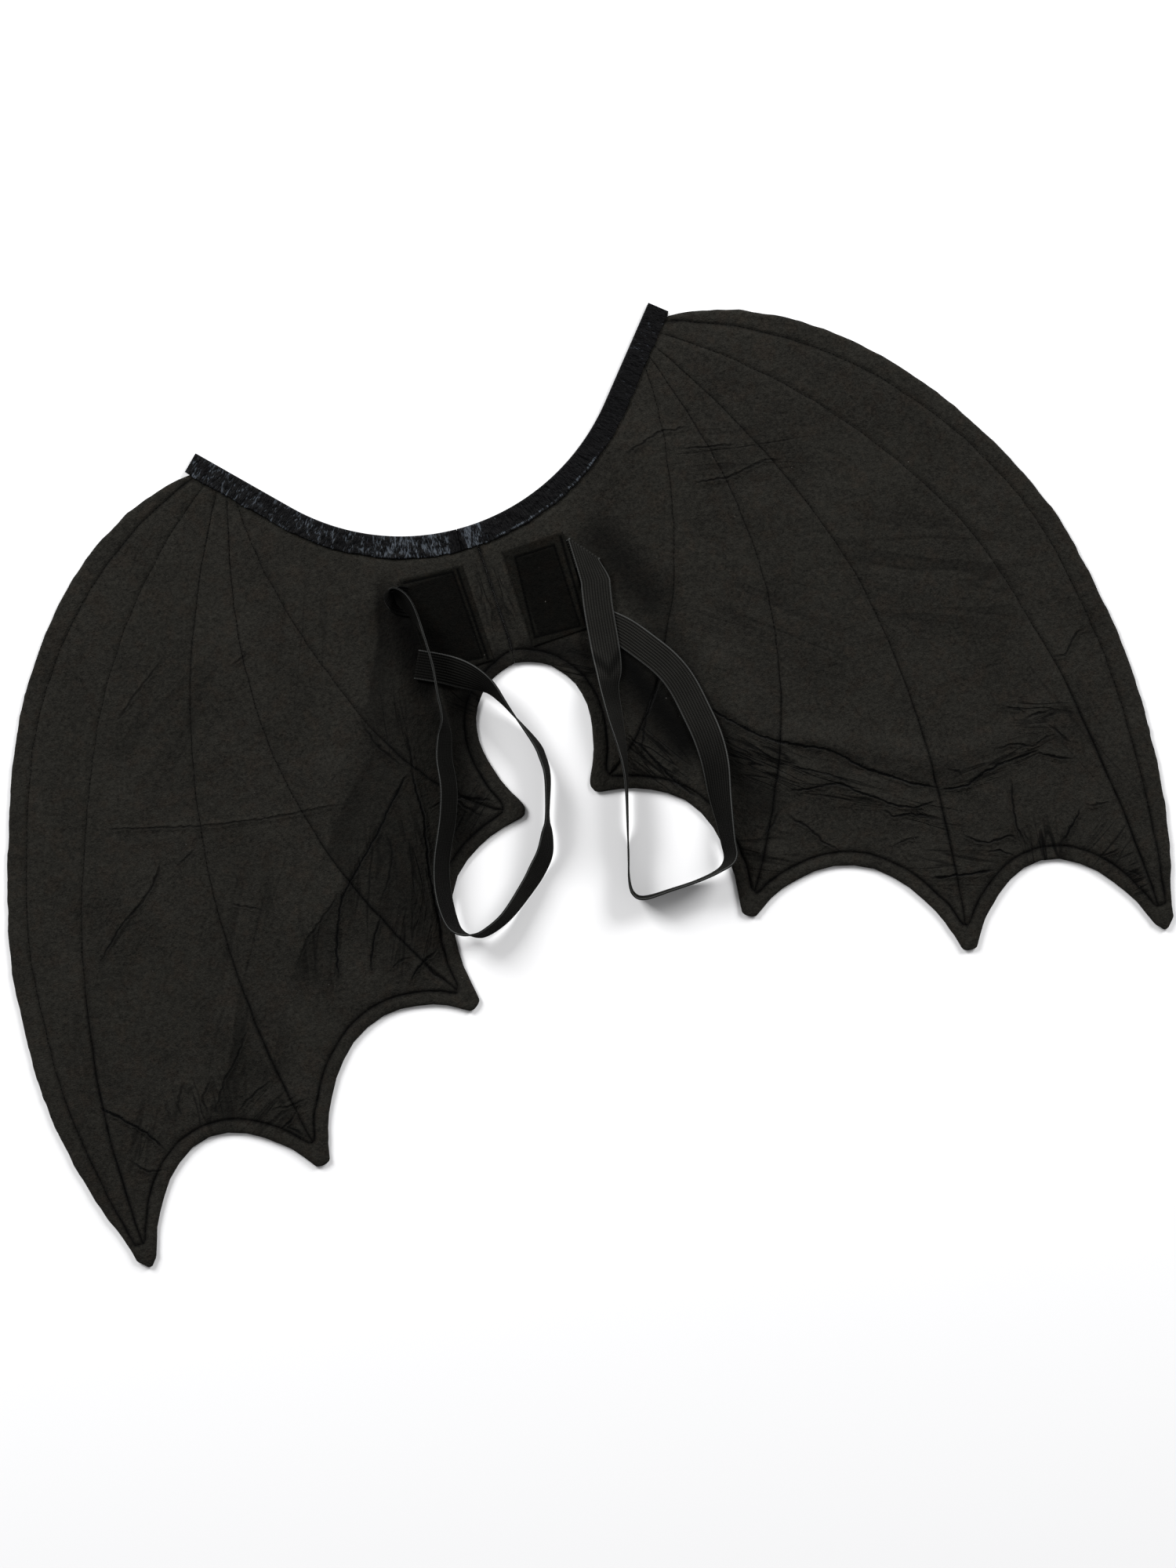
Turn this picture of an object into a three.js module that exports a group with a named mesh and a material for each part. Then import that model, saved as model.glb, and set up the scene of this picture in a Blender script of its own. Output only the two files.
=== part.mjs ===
// A pair of child's costume bat wings, lying flat with the wearer's side up.
// Two padded cloth wings are sewn together down the back, bound along the neck, and worn by two
// elastic arm loops sewn on at two patches. X runs along the span, +Y towards the neck, +Z up.
import * as THREE from "three";

// Driving sizes of the wings, in millimetres
const WING_REACH = 392; // centre seam to the widest point of one wing
const WING_DROP = 403; // bottom of the neckline down to the outer tip
const TIP_ROUND = 6; // how far rounding takes a tip back
const TIP_BLEND = 12; // length of edge that the rounding takes up
const NECK_RADIUS = 150; // round bottom of the neckline
const NECK_FLANK_ANGLE = 48; // degrees, slope of the straight flanks of the neckline
const NECK_FLANK = 70; // straight length of one flank
const SEAM_LENGTH = 96.5; // centre seam, neckline to notch
const ASKEW = 4.5; // how far one wing lies wider than the other

// Driving sizes of the cloth and its quilting
const CLOTH_THICK = 4; // padded cloth between its stitched lines
const STITCH_THICK = 1.8; // cloth pressed together under a line of stitches
const EDGE_THICK = 2.4; // turned edge, where it rounds over
const PUFF_REACH = 9; // distance over which the padding rises from a stitched line
const EDGE_ROLL = 0.4; // share of the border over which its padding rises on either side
const HEM_INSET = 9; // hem stitches in from the scalloped edge
const TIP_INSET = 18; // hem stitches up from a tip
const TIP_REACH = 35; // length of edge over which the hem stitches move up to a tip
const HEM_START = 11; // corner at the neck to the start of the outer hem stitches
const RIB_SPACING = 3.5; // ribs apart where they start at the neckline
const GAP = 0.3; // sewn pieces stay this far apart

// Driving sizes of the neck binding, the patches and the elastic
const BIND_WIDTH = 14;
const BIND_THICK = 0.8;
const BIND_CLOTH = 2.2; // cloth pinched inside the binding
const BIND_RAMP = 4; // past the binding, how far the cloth takes to come down
const BIND_OVERHANG = 3; // end of the binding past the corner of the wing
const BIND_JOIN = 10; // join of the two lengths, to the left of the centre seam
const PATCH_WIDTH = 43;
const PATCH_HEIGHT = 67;
const PATCH_THICK = 1.2;
const PATCH_INSET = 14; // centre seam to a patch
const PATCH_DROP = 23; // neckline down to a patch
const STRAP_WIDTH = 20;
const STRAP_THICK = 1.2;
const STRAP_TUCK = 10; // end of an arm loop under its patch
const STRAP_SEAT = 16; // top of a patch to the middle of the end tucked under it
const FOLD_OUT = 9.5; // patch's outer edge to the fold of the right loop
const FOLD_ANGLE = -52; // degrees, slope of that fold
const LOOP_BREADTH = 80; // across one arm loop as it lies
const LOOP_DROP = 250; // top of a patch to the bottom of an arm loop
const FLOOR_GAP = 0.3; // elastic above the surface that the wings lie on
const FLOOR_SLOPE = 22; // past the cloth, how far the elastic takes to come down
const EDGE_MARGIN = 6; // past the cloth, how far the elastic still lies at its level

const FABRIC = { color: 0x24221f, roughness: 0.95, metalness: 0 };
const PATCH_FABRIC = { color: 0x0e0e0c, roughness: 0.95, metalness: 0 };
const VELVET = { color: 0x1f2122, roughness: 0.45, metalness: 0 };
const ELASTIC = { color: 0x252422, roughness: 0.8, metalness: 0 };

// Ribs from the outer edge inwards: the tip that each runs to as shares of the wing's reach and drop,
// then its headings in degrees and the pull of each end as a share of the straight length
const RIBS = [
  { tipX: 0.915, tipY: 1.0, leave: -33, leavePull: 0.33, arrive: -91, arrivePull: 0.43 },
  { tipX: 0.581, tipY: 0.929, leave: -57, leavePull: 0.41, arrive: -100, arrivePull: 0.37 },
  { tipX: 0.246, tipY: 0.759, leave: -72, leavePull: 0.28, arrive: -124, arrivePull: 0.51 },
  { tipX: 0.062, tipY: 0.479, leave: -77, leavePull: 0.21, arrive: -163, arrivePull: 0.3 },
];
// Where the outer edge and its hem stitches end beside the outer tip, in shares of the tip's rounding
const OUTER_EDGE = { tipX: 0.62, tipY: 0.5, leave: -4, leavePull: 0.3, arrive: -113, arrivePull: 0.42 };
const OUTER_HEM = { tipX: 0.3, tipY: 0.12, leave: -14, leavePull: 0.33, arrive: -103, arrivePull: 0.48 };
// Lower edges between the tips, outermost first, and the notch below the centre seam
const LOWER_EDGES = [
  { leave: 110, leavePull: 0.63, arrive: -126, arrivePull: 0.72 },
  { leave: 104, leavePull: 0.38, arrive: -149, arrivePull: 0.66 },
  { leave: 83, leavePull: 0.54, arrive: 173, arrivePull: 0.53 },
  { leave: 56, leavePull: 0.58, arrive: 171, arrivePull: 0.42 },
];

// Sideways lie of the wings at shares of the drop below the neckline, as a share of ASKEW. It grows from
// nothing at one share of the reach to the whole at another.
const LIE_FROM = 0.45;
const LIE_FULL = 0.85;
const LIE = [
  { down: -0.3, shift: 0 },
  { down: 0, shift: 0.5 },
  { down: 0.25, shift: 1 },
  { down: 0.49, shift: 0 },
  { down: 0.72, shift: -0.6 },
  { down: 1.1, shift: -0.4 },
];

// Soft rises where the cloth doesn't lie flat: side of the seam, ends as shares of the reach and drop,
// height and half width in millimetres
const RISES = [
  { side: 1, fromX: 0.33, fromY: 0.36, toX: 0.36, toY: 0.5, height: 4, spread: 22 },
  { side: 1, fromX: 0.42, fromY: 0.5, toX: 0.63, toY: 0.62, height: 3.5, spread: 15 },
  { side: 1, fromX: 0.66, fromY: 0.62, toX: 0.8, toY: 0.61, height: 3, spread: 14 },
  { side: 1, fromX: 0.7, fromY: 0.7, toX: 0.72, toY: 0.75, height: 2.5, spread: 14 },
  { side: -1, fromX: 0.35, fromY: 0.33, toX: 0.37, toY: 0.42, height: 3.5, spread: 24 },
  { side: -1, fromX: 0.37, fromY: 0.42, toX: 0.43, toY: 0.55, height: 3.5, spread: 24 },
  { side: -1, fromX: 0.66, fromY: 0.66, toX: 0.62, toY: 0.74, height: 2.5, spread: 16 },
];

// Arm loops: middle line of the elastic, across from the patch's outer edge as a share of the loop's breadth
// and down from the patch's top as a share of its drop, roll of the elastic about that line in degrees,
// and how many layers it lies on
const RIGHT_LOOP = [
  { across: 0.13, down: 0.15, roll: 183, layer: 1.3 },
  { across: 0.08, down: 0.226, roll: 186, layer: 1.3 },
  { across: 0.0375, down: 0.316, roll: 190, layer: 1 },
  { across: 0, down: 0.388, roll: 208, layer: 0.4 },
  { across: -0.044, down: 0.436, roll: 230, layer: 0 },
  { across: -0.075, down: 0.516, roll: 240, layer: 0 },
  { across: -0.1, down: 0.596, roll: 253, layer: 0 },
  { across: -0.131, down: 0.656, roll: 262, layer: 0 },
  { across: -0.181, down: 0.716, roll: 266, layer: 0 },
  { across: -0.256, down: 0.796, roll: 268, layer: 0 },
  { across: -0.331, down: 0.876, roll: 270, layer: 0 },
  { across: -0.391, down: 0.94, roll: 268, layer: 0 },
  { across: -0.394, down: 0.98, roll: 266, layer: 0 },
  { across: -0.3125, down: 1.0, roll: 266, layer: 0 },
  { across: -0.0875, down: 1.002, roll: 268, layer: 0 },
  { across: 0.1625, down: 1.001, roll: 268, layer: 0 },
  { across: 0.3625, down: 0.991, roll: 264, layer: 0 },
  { across: 0.469, down: 0.968, roll: 246, layer: 0 },
  { across: 0.494, down: 0.924, roll: 242, layer: 0 },
  { across: 0.519, down: 0.876, roll: 237, layer: 0 },
  { across: 0.55, down: 0.804, roll: 222, layer: 0 },
  { across: 0.6, down: 0.716, roll: 204, layer: 0 },
  { across: 0.609, down: 0.644, roll: 192, layer: 0 },
  { across: 0.5875, down: 0.576, roll: 186, layer: 0 },
  { across: 0.544, down: 0.488, roll: 186, layer: 0 },
  { across: 0.469, down: 0.424, roll: 188, layer: 0 },
  { across: 0.35, down: 0.364, roll: 188, layer: 0 },
  { across: 0.231, down: 0.312, roll: 184, layer: 0 },
  { across: 0.13, down: 0.28, roll: 180, layer: 0 },
  { across: 0.055, down: 0.262, roll: 180, layer: 0 },
];
const LEFT_LOOP = [
  { across: 0.01, down: 0.064, roll: 0, layer: 0 },
  { across: 0.08, down: 0.058, roll: 30, layer: 0 },
  { across: 0.12, down: 0.072, roll: 55, layer: 0 },
  { across: 0.09, down: 0.1, roll: 72, layer: 1.4 },
  { across: 0, down: 0.13, roll: 84, layer: 2 },
  { across: -0.056, down: 0.168, roll: 90, layer: 2.1 },
  { across: -0.05, down: 0.204, roll: 90, layer: 2 },
  { across: -0.0375, down: 0.244, roll: 90, layer: 2 },
  { across: -0.0125, down: 0.304, roll: 90, layer: 1.6 },
  { across: 0.006, down: 0.376, roll: 97, layer: 0 },
  { across: 0.05, down: 0.42, roll: 115, layer: 0 },
  { across: 0.1125, down: 0.476, roll: 120, layer: 0 },
  { across: 0.156, down: 0.556, roll: 122, layer: 0 },
  { across: 0.25, down: 0.636, roll: 122, layer: 0 },
  { across: 0.394, down: 0.728, roll: 120, layer: 0 },
  { across: 0.4625, down: 0.796, roll: 121, layer: 0 },
  { across: 0.4875, down: 0.856, roll: 119, layer: 0 },
  { across: 0.481, down: 0.904, roll: 112, layer: 0 },
  { across: 0.4375, down: 0.932, roll: 98, layer: 0 },
  { across: 0.3625, down: 0.948, roll: 86, layer: 0 },
  { across: 0.25, down: 0.954, roll: 75, layer: 0 },
  { across: 0.0375, down: 0.93, roll: 69, layer: 0 },
  { across: -0.2125, down: 0.872, roll: 60, layer: 0 },
  { across: -0.3375, down: 0.836, roll: 55, layer: 0 },
  { across: -0.4375, down: 0.8, roll: 58, layer: 0 },
  { across: -0.506, down: 0.752, roll: 70, layer: 0 },
  { across: -0.55, down: 0.712, roll: 84, layer: 0 },
  { across: -0.656, down: 0.612, roll: 80, layer: 0 },
  { across: -0.669, down: 0.556, roll: 78, layer: 0 },
  { across: -0.65, down: 0.512, roll: 80, layer: 0 },
  { across: -0.55, down: 0.424, roll: 92, layer: 0 },
  { across: -0.5, down: 0.38, roll: 100, layer: 0 },
  { across: -0.4375, down: 0.336, roll: 115, layer: 0.5 },
  { across: -0.3375, down: 0.302, roll: 140, layer: 1 },
  { across: -0.2125, down: 0.27, roll: 165, layer: 1 },
  { across: -0.0875, down: 0.244, roll: 178, layer: 1 },
  { across: 0.0875, down: 0.214, roll: 180, layer: 1 },
];

// How finely the surfaces are cut
const PANEL_SHARES = [0, 0.07, 0.18, 0.33, 0.5, 0.67, 0.82, 0.93];
const NARROW_SHARES = [0, 0.25, 0.5, 0.75];
const CENTRE_COLUMNS = 11;
const BORDER_SHARES = [0, 0.25, 0.62];
const MIDDLE_ROWS = 12;
const HEM_STEPS = [2.1, 1.4, 1, 0.62, 0.25, 0]; // rows beside the lower edge, in hem insets
const STRAP_STEPS = 96;
const ACROSS_STRAP = 10; // points over the breadth of the elastic that its rest is taken at
const BIND_STEPS = 28;
const PATCH_COLUMNS = 8;
const PATCH_ROWS = 6;

// Sizes that follow from those above
const NECK_ARC = NECK_RADIUS * THREE.MathUtils.degToRad(NECK_FLANK_ANGLE);
const NECK_LENGTH = NECK_ARC + NECK_FLANK;
const BIND_LIFT = BIND_THICK + GAP; // cloth raised by the binding under it
const BIND_CLEAR = BIND_WIDTH + 2 * GAP; // neckline to the cloth that is clear of the binding
const CLOTH_LEVEL = CLOTH_THICK + GAP;
const LAYER = STRAP_THICK + GAP;
const PATCH_OUTER = PATCH_INSET + PATCH_WIDTH;
const PATCH_TOP = -PATCH_DROP;

const smooth = (x) => THREE.MathUtils.smoothstep(x, 0, 1);
const puffed = (x) => Math.sqrt(1 - (1 - THREE.MathUtils.clamp(x, 0, 1)) ** 2);
const vector = (x, y) => new THREE.Vector2(x, y);

function headed(degrees) {
  const angle = THREE.MathUtils.degToRad(degrees);
  return vector(Math.cos(angle), Math.sin(angle));
}

// Neckline: an arc with straight flanks, by its length from the centre seam, to the left below zero

function neckPoint(length) {
  const angle = Math.min(Math.abs(length), NECK_ARC) / NECK_RADIUS;
  const beyond = Math.max(Math.abs(length) - NECK_ARC, 0);
  const point = vector(NECK_RADIUS * Math.sin(angle), NECK_RADIUS * (1 - Math.cos(angle)));
  point.addScaledVector(headed(NECK_FLANK_ANGLE), beyond);
  point.x *= length < 0 ? -1 : 1;
  return point;
}

// Direction from the neckline into the cloth
function neckInward(length) {
  const angle = THREE.MathUtils.clamp(length, -NECK_ARC, NECK_ARC) / NECK_RADIUS;
  return vector(Math.sin(angle), -Math.cos(angle));
}

function neckDistance(point) {
  const centre = vector(0, NECK_RADIUS);
  const from = point.clone().sub(centre);
  const angle = Math.atan2(from.x, -from.y);
  if (angle <= THREE.MathUtils.degToRad(NECK_FLANK_ANGLE)) return from.length() - NECK_RADIUS;
  return point.clone().sub(neckPoint(NECK_LENGTH)).dot(neckInward(NECK_LENGTH));
}

// Outline and ribs of one wing

function headedCurve(start, end, row) {
  const straight = start.distanceTo(end);
  const first = start.clone().addScaledVector(headed(row.leave), row.leavePull * straight);
  const second = end.clone().addScaledVector(headed(row.arrive), -row.arrivePull * straight);
  return new THREE.CubicBezierCurve(start, first, second, end);
}

const ribTip = (row) => vector(row.tipX * WING_REACH, -row.tipY * WING_DROP);
const ribStart = (i) => NECK_LENGTH - HEM_START - (i + 1) * RIB_SPACING;
const neckEdge = (length) => neckPoint(length).addScaledVector(neckInward(length), GAP);
const seamAt = (y) => vector(GAP / 2, y);

// Rib before its tip was rounded off, where the lower edges on its two sides would meet
function sharpTip(row) {
  return ribTip(row).addScaledVector(headed(row.arrive), TIP_ROUND);
}

function wingLines() {
  const belowBinding = neckPoint(NECK_LENGTH).addScaledVector(neckInward(NECK_LENGTH), BIND_CLEAR);
  const outerLine = (start, row) => {
    const beside = vector(row.tipX, row.tipY).multiplyScalar(TIP_ROUND);
    return headedCurve(start, ribTip(RIBS[0]).add(beside), row);
  };
  return {
    edge: outerLine(belowBinding, OUTER_EDGE),
    hem: outerLine(neckEdge(NECK_LENGTH - HEM_START), OUTER_HEM),
    ribs: RIBS.map((row, i) => headedCurve(neckEdge(ribStart(i)), ribTip(row), row)),
    seam: new THREE.LineCurve(seamAt(-GAP), seamAt(-SEAM_LENGTH)),
  };
}

// Lower edge of a panel between two ribs, or between a rib and the centre seam, with its tips rounded off
function lowerEdge(i) {
  const inner = RIBS[i + 1];
  const end = inner ? sharpTip(inner) : seamAt(-SEAM_LENGTH);
  const curve = headedCurve(sharpTip(RIBS[i]), end, LOWER_EDGES[i]);
  const length = curve.getLength();
  const roundOff = (point, row, distance) => {
    const back = TIP_ROUND * Math.max(1 - distance / TIP_BLEND, 0) ** 2;
    return point.addScaledVector(headed(row.arrive), -back);
  };
  return (u) => {
    const point = roundOff(curve.getPointAt(u), RIBS[i], u * length);
    return inner ? roundOff(point, inner, (1 - u) * length) : point;
  };
}

// Point of a panel, blended from its four edges
function panelPoint({ left, right, top, bottom }, u, v) {
  const across = left.getPointAt(v).lerp(right.getPointAt(v), u);
  const along = top(u).lerp(bottom(u), v);
  const upper = top(0).lerp(top(1), u);
  const lower = bottom(0).lerp(bottom(1), u);
  return across.add(along).sub(upper.lerp(lower, v));
}

const straightEdge = (a, b) => (u) => a.clone().lerp(b, u);

// Panels from the outer edge to the centre seam: the border outside the hem stitches first
function wingPanels() {
  const { edge, hem, ribs, seam } = wingLines();
  const sides = [edge, hem, ...ribs, seam];
  return sides.slice(1).map((right, i) => {
    const left = sides[i];
    const outside = i < 2;
    const centre = i === sides.length - 2;
    const [from, to] = [ribStart(i - 2), centre ? 0 : ribStart(i - 1)];
    const alongNeck = (u) => neckEdge(THREE.MathUtils.lerp(from, to, u));
    const ribbed = outside ? NARROW_SHARES : PANEL_SHARES;
    const shares = centre ? evenShares(CENTRE_COLUMNS) : ribbed;
    return {
      left,
      right,
      top: i === 0 ? straightEdge(left.getPointAt(0), right.getPointAt(0)) : alongNeck,
      bottom: outside ? straightEdge(left.getPointAt(1), right.getPointAt(1)) : lowerEdge(i - 2),
      shares: i === 0 ? BORDER_SHARES : shares,
      border: i === 0,
      outside,
    };
  });
}

// Shares from 0 up to 1, with the 1 itself left out or taken in
const evenShares = (count) => Array.from({ length: count }, (_, i) => i / count);
const evenSteps = (count) => [...evenShares(count), 1];

// Columns of the wing's surface, each a line from the neck down to the lower edge, with the distances at
// which its rows lie from that edge
function wingColumns() {
  const panels = wingPanels();
  const columns = panels.flatMap((panel, i) => panel.shares.map((u) => makeColumn(panel, u, i)));
  const last = panels[panels.length - 1];
  columns.push(makeColumn(last, 1, panels.length));
  return columns;
}

function makeColumn(panel, u, i) {
  const at = (v) => panelPoint(panel, u, v);
  const length = polylineLength(evenSteps(40).map(at));
  const toRib = Math.min(u, i > 4 ? 1 : 1 - u) * panelBreadth(panel);
  const upTip = panel.outside ? 1 : Math.max(1 - toRib / TIP_REACH, 0) ** 2;
  const inset = THREE.MathUtils.lerp(HEM_INSET, TIP_INSET, upTip);
  const stitched = u === 1 || (u === 0 && !panel.border);
  return { at, length, inset, share: u, border: panel.border, stitched };
}

function panelBreadth(panel) {
  return polylineLength(evenSteps(20).map(panel.bottom));
}

function polylineLength(points) {
  return points.slice(1).reduce((sum, point, i) => sum + point.distanceTo(points[i]), 0);
}

// Shares of a column at which the rows lie: two beside the binding, some between, and those beside the hem
function columnRows(column) {
  const { at, length, inset } = column;
  let pinched = 1 / length;
  while (neckDistance(at(pinched)) < BIND_CLEAR) pinched += 0.25 / length;
  const full = pinched + BIND_RAMP / length;
  const ends = HEM_STEPS.map((step) => 1 - (step * inset) / length);
  const middle = evenShares(MIDDLE_ROWS).slice(1).map((s) => THREE.MathUtils.lerp(full, ends[0], s));
  return [0, pinched, full, ...middle, ...ends];
}

// Height that the cloth rises to over a point, with each rise widened by a margin for what lies on it
function riseAt(x, y, side, margin = 0) {
  const point = vector(x / WING_REACH, -y / WING_DROP);
  return RISES.filter((row) => row.side === side).reduce((highest, row) => {
    const from = vector(row.fromX, row.fromY);
    const line = vector(row.toX, row.toY).sub(from);
    const along = THREE.MathUtils.clamp(point.clone().sub(from).dot(line) / line.lengthSq(), 0, 1);
    const off = point.clone().sub(from).addScaledVector(line, -along);
    const distance = Math.hypot(off.x * WING_REACH, off.y * WING_DROP);
    return Math.max(highest, row.height * smooth(1 - distance / (row.spread + margin)));
  }, 0);
}

// Thickness of the border outside a line of stitches, from the stitches (0) to the edge (1)
function borderThick(x) {
  const inner = THREE.MathUtils.lerp(STITCH_THICK, CLOTH_THICK, puffed(x / EDGE_ROLL));
  const outer = THREE.MathUtils.lerp(EDGE_THICK, CLOTH_THICK, puffed((1 - x) / EDGE_ROLL));
  return Math.min(inner, outer);
}

// The laid-out wing as rows of points with their thickness
function wingGrid() {
  const columns = wingColumns();
  const shares = columns.map(columnRows);
  const rowCount = shares[0].length;
  const hemRow = rowCount - 1 - (HEM_STEPS.length - 1 - HEM_STEPS.indexOf(1));
  const stitchedColumns = columns.flatMap((column, j) => (column.stitched ? [j] : []));
  return evenShares(rowCount).map((_, i) => {
    const points = columns.map((column, j) => column.at(shares[j][i]));
    return points.map((point, j) => {
      const column = columns[j];
      const toHem = (shares[j][hemRow] - shares[j][i]) * column.length;
      const across = Math.min(...stitchedColumns.map((k) => point.distanceTo(points[k])));
      const inside = THREE.MathUtils.lerp(STITCH_THICK, CLOTH_THICK, puffed(across / PUFF_REACH));
      const byHem = toHem >= 0
        ? THREE.MathUtils.lerp(STITCH_THICK, CLOTH_THICK, puffed(toHem / PUFF_REACH))
        : borderThick(-toHem / column.inset);
      const thick = column.border ? borderThick(1 - column.share) : inside;
      const pinched = i < 2;
      return {
        point,
        pinched,
        thick: pinched ? BIND_CLOTH : Math.min(thick, byHem),
      };
    });
  });
}

// Sideways shift of a point of the outer wing, which lies a little askew
function lieShift(x, y) {
  const down = -y / WING_DROP;
  const i = Math.max(LIE.findIndex((row) => row.down > down), 1);
  const [above, below] = [LIE[i - 1], LIE[i]];
  const share = smooth((down - above.down) / (below.down - above.down));
  const amount = THREE.MathUtils.lerp(above.shift, below.shift, share);
  return ASKEW * amount * smooth((x / WING_REACH - LIE_FROM) / (LIE_FULL - LIE_FROM));
}

const pressed = (rows) => rows.map((row) => row.map((cell) => cell.bottom));
const raised = (rows) => rows.map((row) => row.map((cell) => cell.top));

// Closed body between an upper and a lower grid of points
function slab(upper, lower, flipped) {
  const rowCount = upper.length;
  const columnCount = upper[0].length;
  const points = [...upper.flat(), ...lower.flat()];
  const offset = rowCount * columnCount;
  const faces = [];
  const quad = (a, b, c, d) => faces.push(a, b, c, a, c, d);
  const at = (i, j) => i * columnCount + j;
  for (let i = 0; i + 1 < rowCount; i += 1) {
    for (let j = 0; j + 1 < columnCount; j += 1) {
      const [a, b, c, d] = [at(i, j), at(i + 1, j), at(i + 1, j + 1), at(i, j + 1)];
      quad(a, b, c, d);
      quad(offset + a, offset + d, offset + c, offset + b);
    }
  }
  const rim = [];
  for (let j = 0; j + 1 < columnCount; j += 1) rim.push(at(0, j));
  for (let i = 0; i + 1 < rowCount; i += 1) rim.push(at(i, columnCount - 1));
  for (let j = columnCount - 1; j > 0; j -= 1) rim.push(at(rowCount - 1, j));
  for (let i = rowCount - 1; i > 0; i -= 1) rim.push(at(i, 0));
  rim.forEach((a, i) => {
    const b = rim[(i + 1) % rim.length];
    quad(a, b, offset + b, offset + a);
  });
  return skin(points, faces, flipped);
}

function skin(points, faces, flipped) {
  const geometry = new THREE.BufferGeometry().setFromPoints(points);
  const turned = faces.map((_, i) => faces[i - (i % 3) + [0, 2, 1][i % 3]]);
  geometry.setIndex(flipped ? turned : faces);
  geometry.computeVertexNormals();
  return geometry;
}

function wingGeometry(side, grid) {
  const rows = grid.map((row) =>
    row.map(({ point, thick, pinched }) => {
      const x = side * point.x + lieShift(point.x, point.y);
      const low = pinched ? BIND_LIFT : riseAt(point.x, point.y, side);
      return {
        top: new THREE.Vector3(x, point.y, low + thick),
        bottom: new THREE.Vector3(x, point.y, low),
      };
    }),
  );
  return slab(raised(rows), pressed(rows), side > 0);
}

// Ribbon folded over the neckline, from one length along it to another
function bindingGeometry(from, to) {
  const top = BIND_LIFT + BIND_CLOTH + GAP + BIND_THICK;
  const back = -BIND_THICK;
  const round = BIND_THICK * 0.6;
  const section = [
    [BIND_WIDTH, 0],
    [back + round, 0],
    [back, round],
    [back, top - round],
    [back + round, top],
    [BIND_WIDTH, top],
    [BIND_WIDTH, top - BIND_THICK],
    [0, top - BIND_THICK],
    [0, BIND_THICK],
    [BIND_WIDTH, BIND_THICK],
  ];
  const stations = evenSteps(BIND_STEPS).map((s) => {
    const length = THREE.MathUtils.lerp(from, to, s);
    const edge = neckPoint(length);
    const inward = neckInward(length);
    return section.map(([depth, z]) => {
      const point = edge.clone().addScaledVector(inward, depth);
      return new THREE.Vector3(point.x, point.y, z);
    });
  });
  return tube(stations, to < from);
}

// Closed body through a row of sections with equal numbers of points
function tube(stations, flipped) {
  const size = stations[0].length;
  const faces = [];
  for (let i = 0; i + 1 < stations.length; i += 1) {
    for (let j = 0; j < size; j += 1) {
      const [a, b] = [i * size + j, i * size + ((j + 1) % size)];
      faces.push(a, b, b + size, a, b + size, a + size);
    }
  }
  const outline = stations[0].map((point) => projected(point, stations[0]));
  const cap = THREE.ShapeUtils.triangulateShape(outline, []);
  const last = (stations.length - 1) * size;
  const clockwise = THREE.ShapeUtils.isClockWise(outline);
  cap.forEach(([a, b, c]) => {
    const turned = clockwise ? [a, c, b] : [a, b, c];
    faces.push(...turned.slice().reverse(), ...turned.map((k) => k + last));
  });
  return skin(stations.flat(), faces, flipped);
}

// Section's point in the plane of its first, second and last points
function projected(point, section) {
  const origin = section[0];
  const along = section[1].clone().sub(origin).normalize();
  const normal = section[section.length - 1].clone().sub(origin).cross(along).normalize();
  const up = along.clone().cross(normal);
  const offset = point.clone().sub(origin);
  return vector(offset.dot(along), offset.dot(up));
}

// Cloth patch that lies on the wing and rises over the end of the elastic tucked under it
function patchGeometry(side) {
  const tuckLow = PATCH_TOP - STRAP_SEAT - STRAP_WIDTH / 2 - 2 * GAP;
  const rows = evenSteps(PATCH_ROWS).map((down) =>
    evenSteps(PATCH_COLUMNS).map((across) => {
      const x = PATCH_INSET + PATCH_WIDTH * across;
      const y = PATCH_TOP - PATCH_HEIGHT * down;
      const overEnd = smooth((x - (PATCH_OUTER - 2 * STRAP_TUCK)) / (0.8 * STRAP_TUCK));
      const overSide = smooth((y - (tuckLow - 1.6 * STRAP_TUCK)) / STRAP_TUCK);
      const z = CLOTH_LEVEL + LAYER * overEnd * overSide;
      return {
        top: new THREE.Vector3(side * x, y, z + PATCH_THICK),
        bottom: new THREE.Vector3(side * x, y, z),
      };
    }),
  );
  return slab(raised(rows), pressed(rows), side < 0);
}

// Arm loop: a flat band that lies, leans and stands on the cloth and on the surface beside it

function loopCentres(table) {
  const points = table.map(({ across, down, roll }) =>
    new THREE.Vector3(PATCH_OUTER + across * LOOP_BREADTH, PATCH_TOP - down * LOOP_DROP, roll));
  const curve = new THREE.CatmullRomCurve3(points, false, "catmullrom", 0.5);
  const last = table.length - 1;
  return evenSteps(STRAP_STEPS).map((t) => {
    const [before, after] = [Math.floor(t * last), Math.min(Math.floor(t * last) + 1, last)];
    const layer = THREE.MathUtils.lerp(table[before].layer, table[after].layer, t * last - before);
    const point = curve.getPoint(t);
    return { centre: vector(point.x, point.y), roll: THREE.MathUtils.degToRad(point.z), layer };
  });
}

// Height that the elastic rests at over a point: on the cloth, or sloping down to the surface beside it
function restLevel(point, side, outline) {
  const outside = insideOutline(point, outline) ? 0 : outlineDistance(point, outline) - EDGE_MARGIN;
  const onCloth = CLOTH_LEVEL + riseAt(point.x, point.y, side, EDGE_MARGIN);
  return THREE.MathUtils.lerp(FLOOR_GAP, onCloth, smooth(1 - outside / FLOOR_SLOPE));
}

function insideOutline(point, outline) {
  let inside = false;
  outline.forEach((a, i) => {
    const b = outline[(i + 1) % outline.length];
    const crosses = a.y > point.y !== b.y > point.y;
    if (crosses && point.x < a.x + ((b.x - a.x) * (point.y - a.y)) / (b.y - a.y)) inside = !inside;
  });
  return inside;
}

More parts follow.
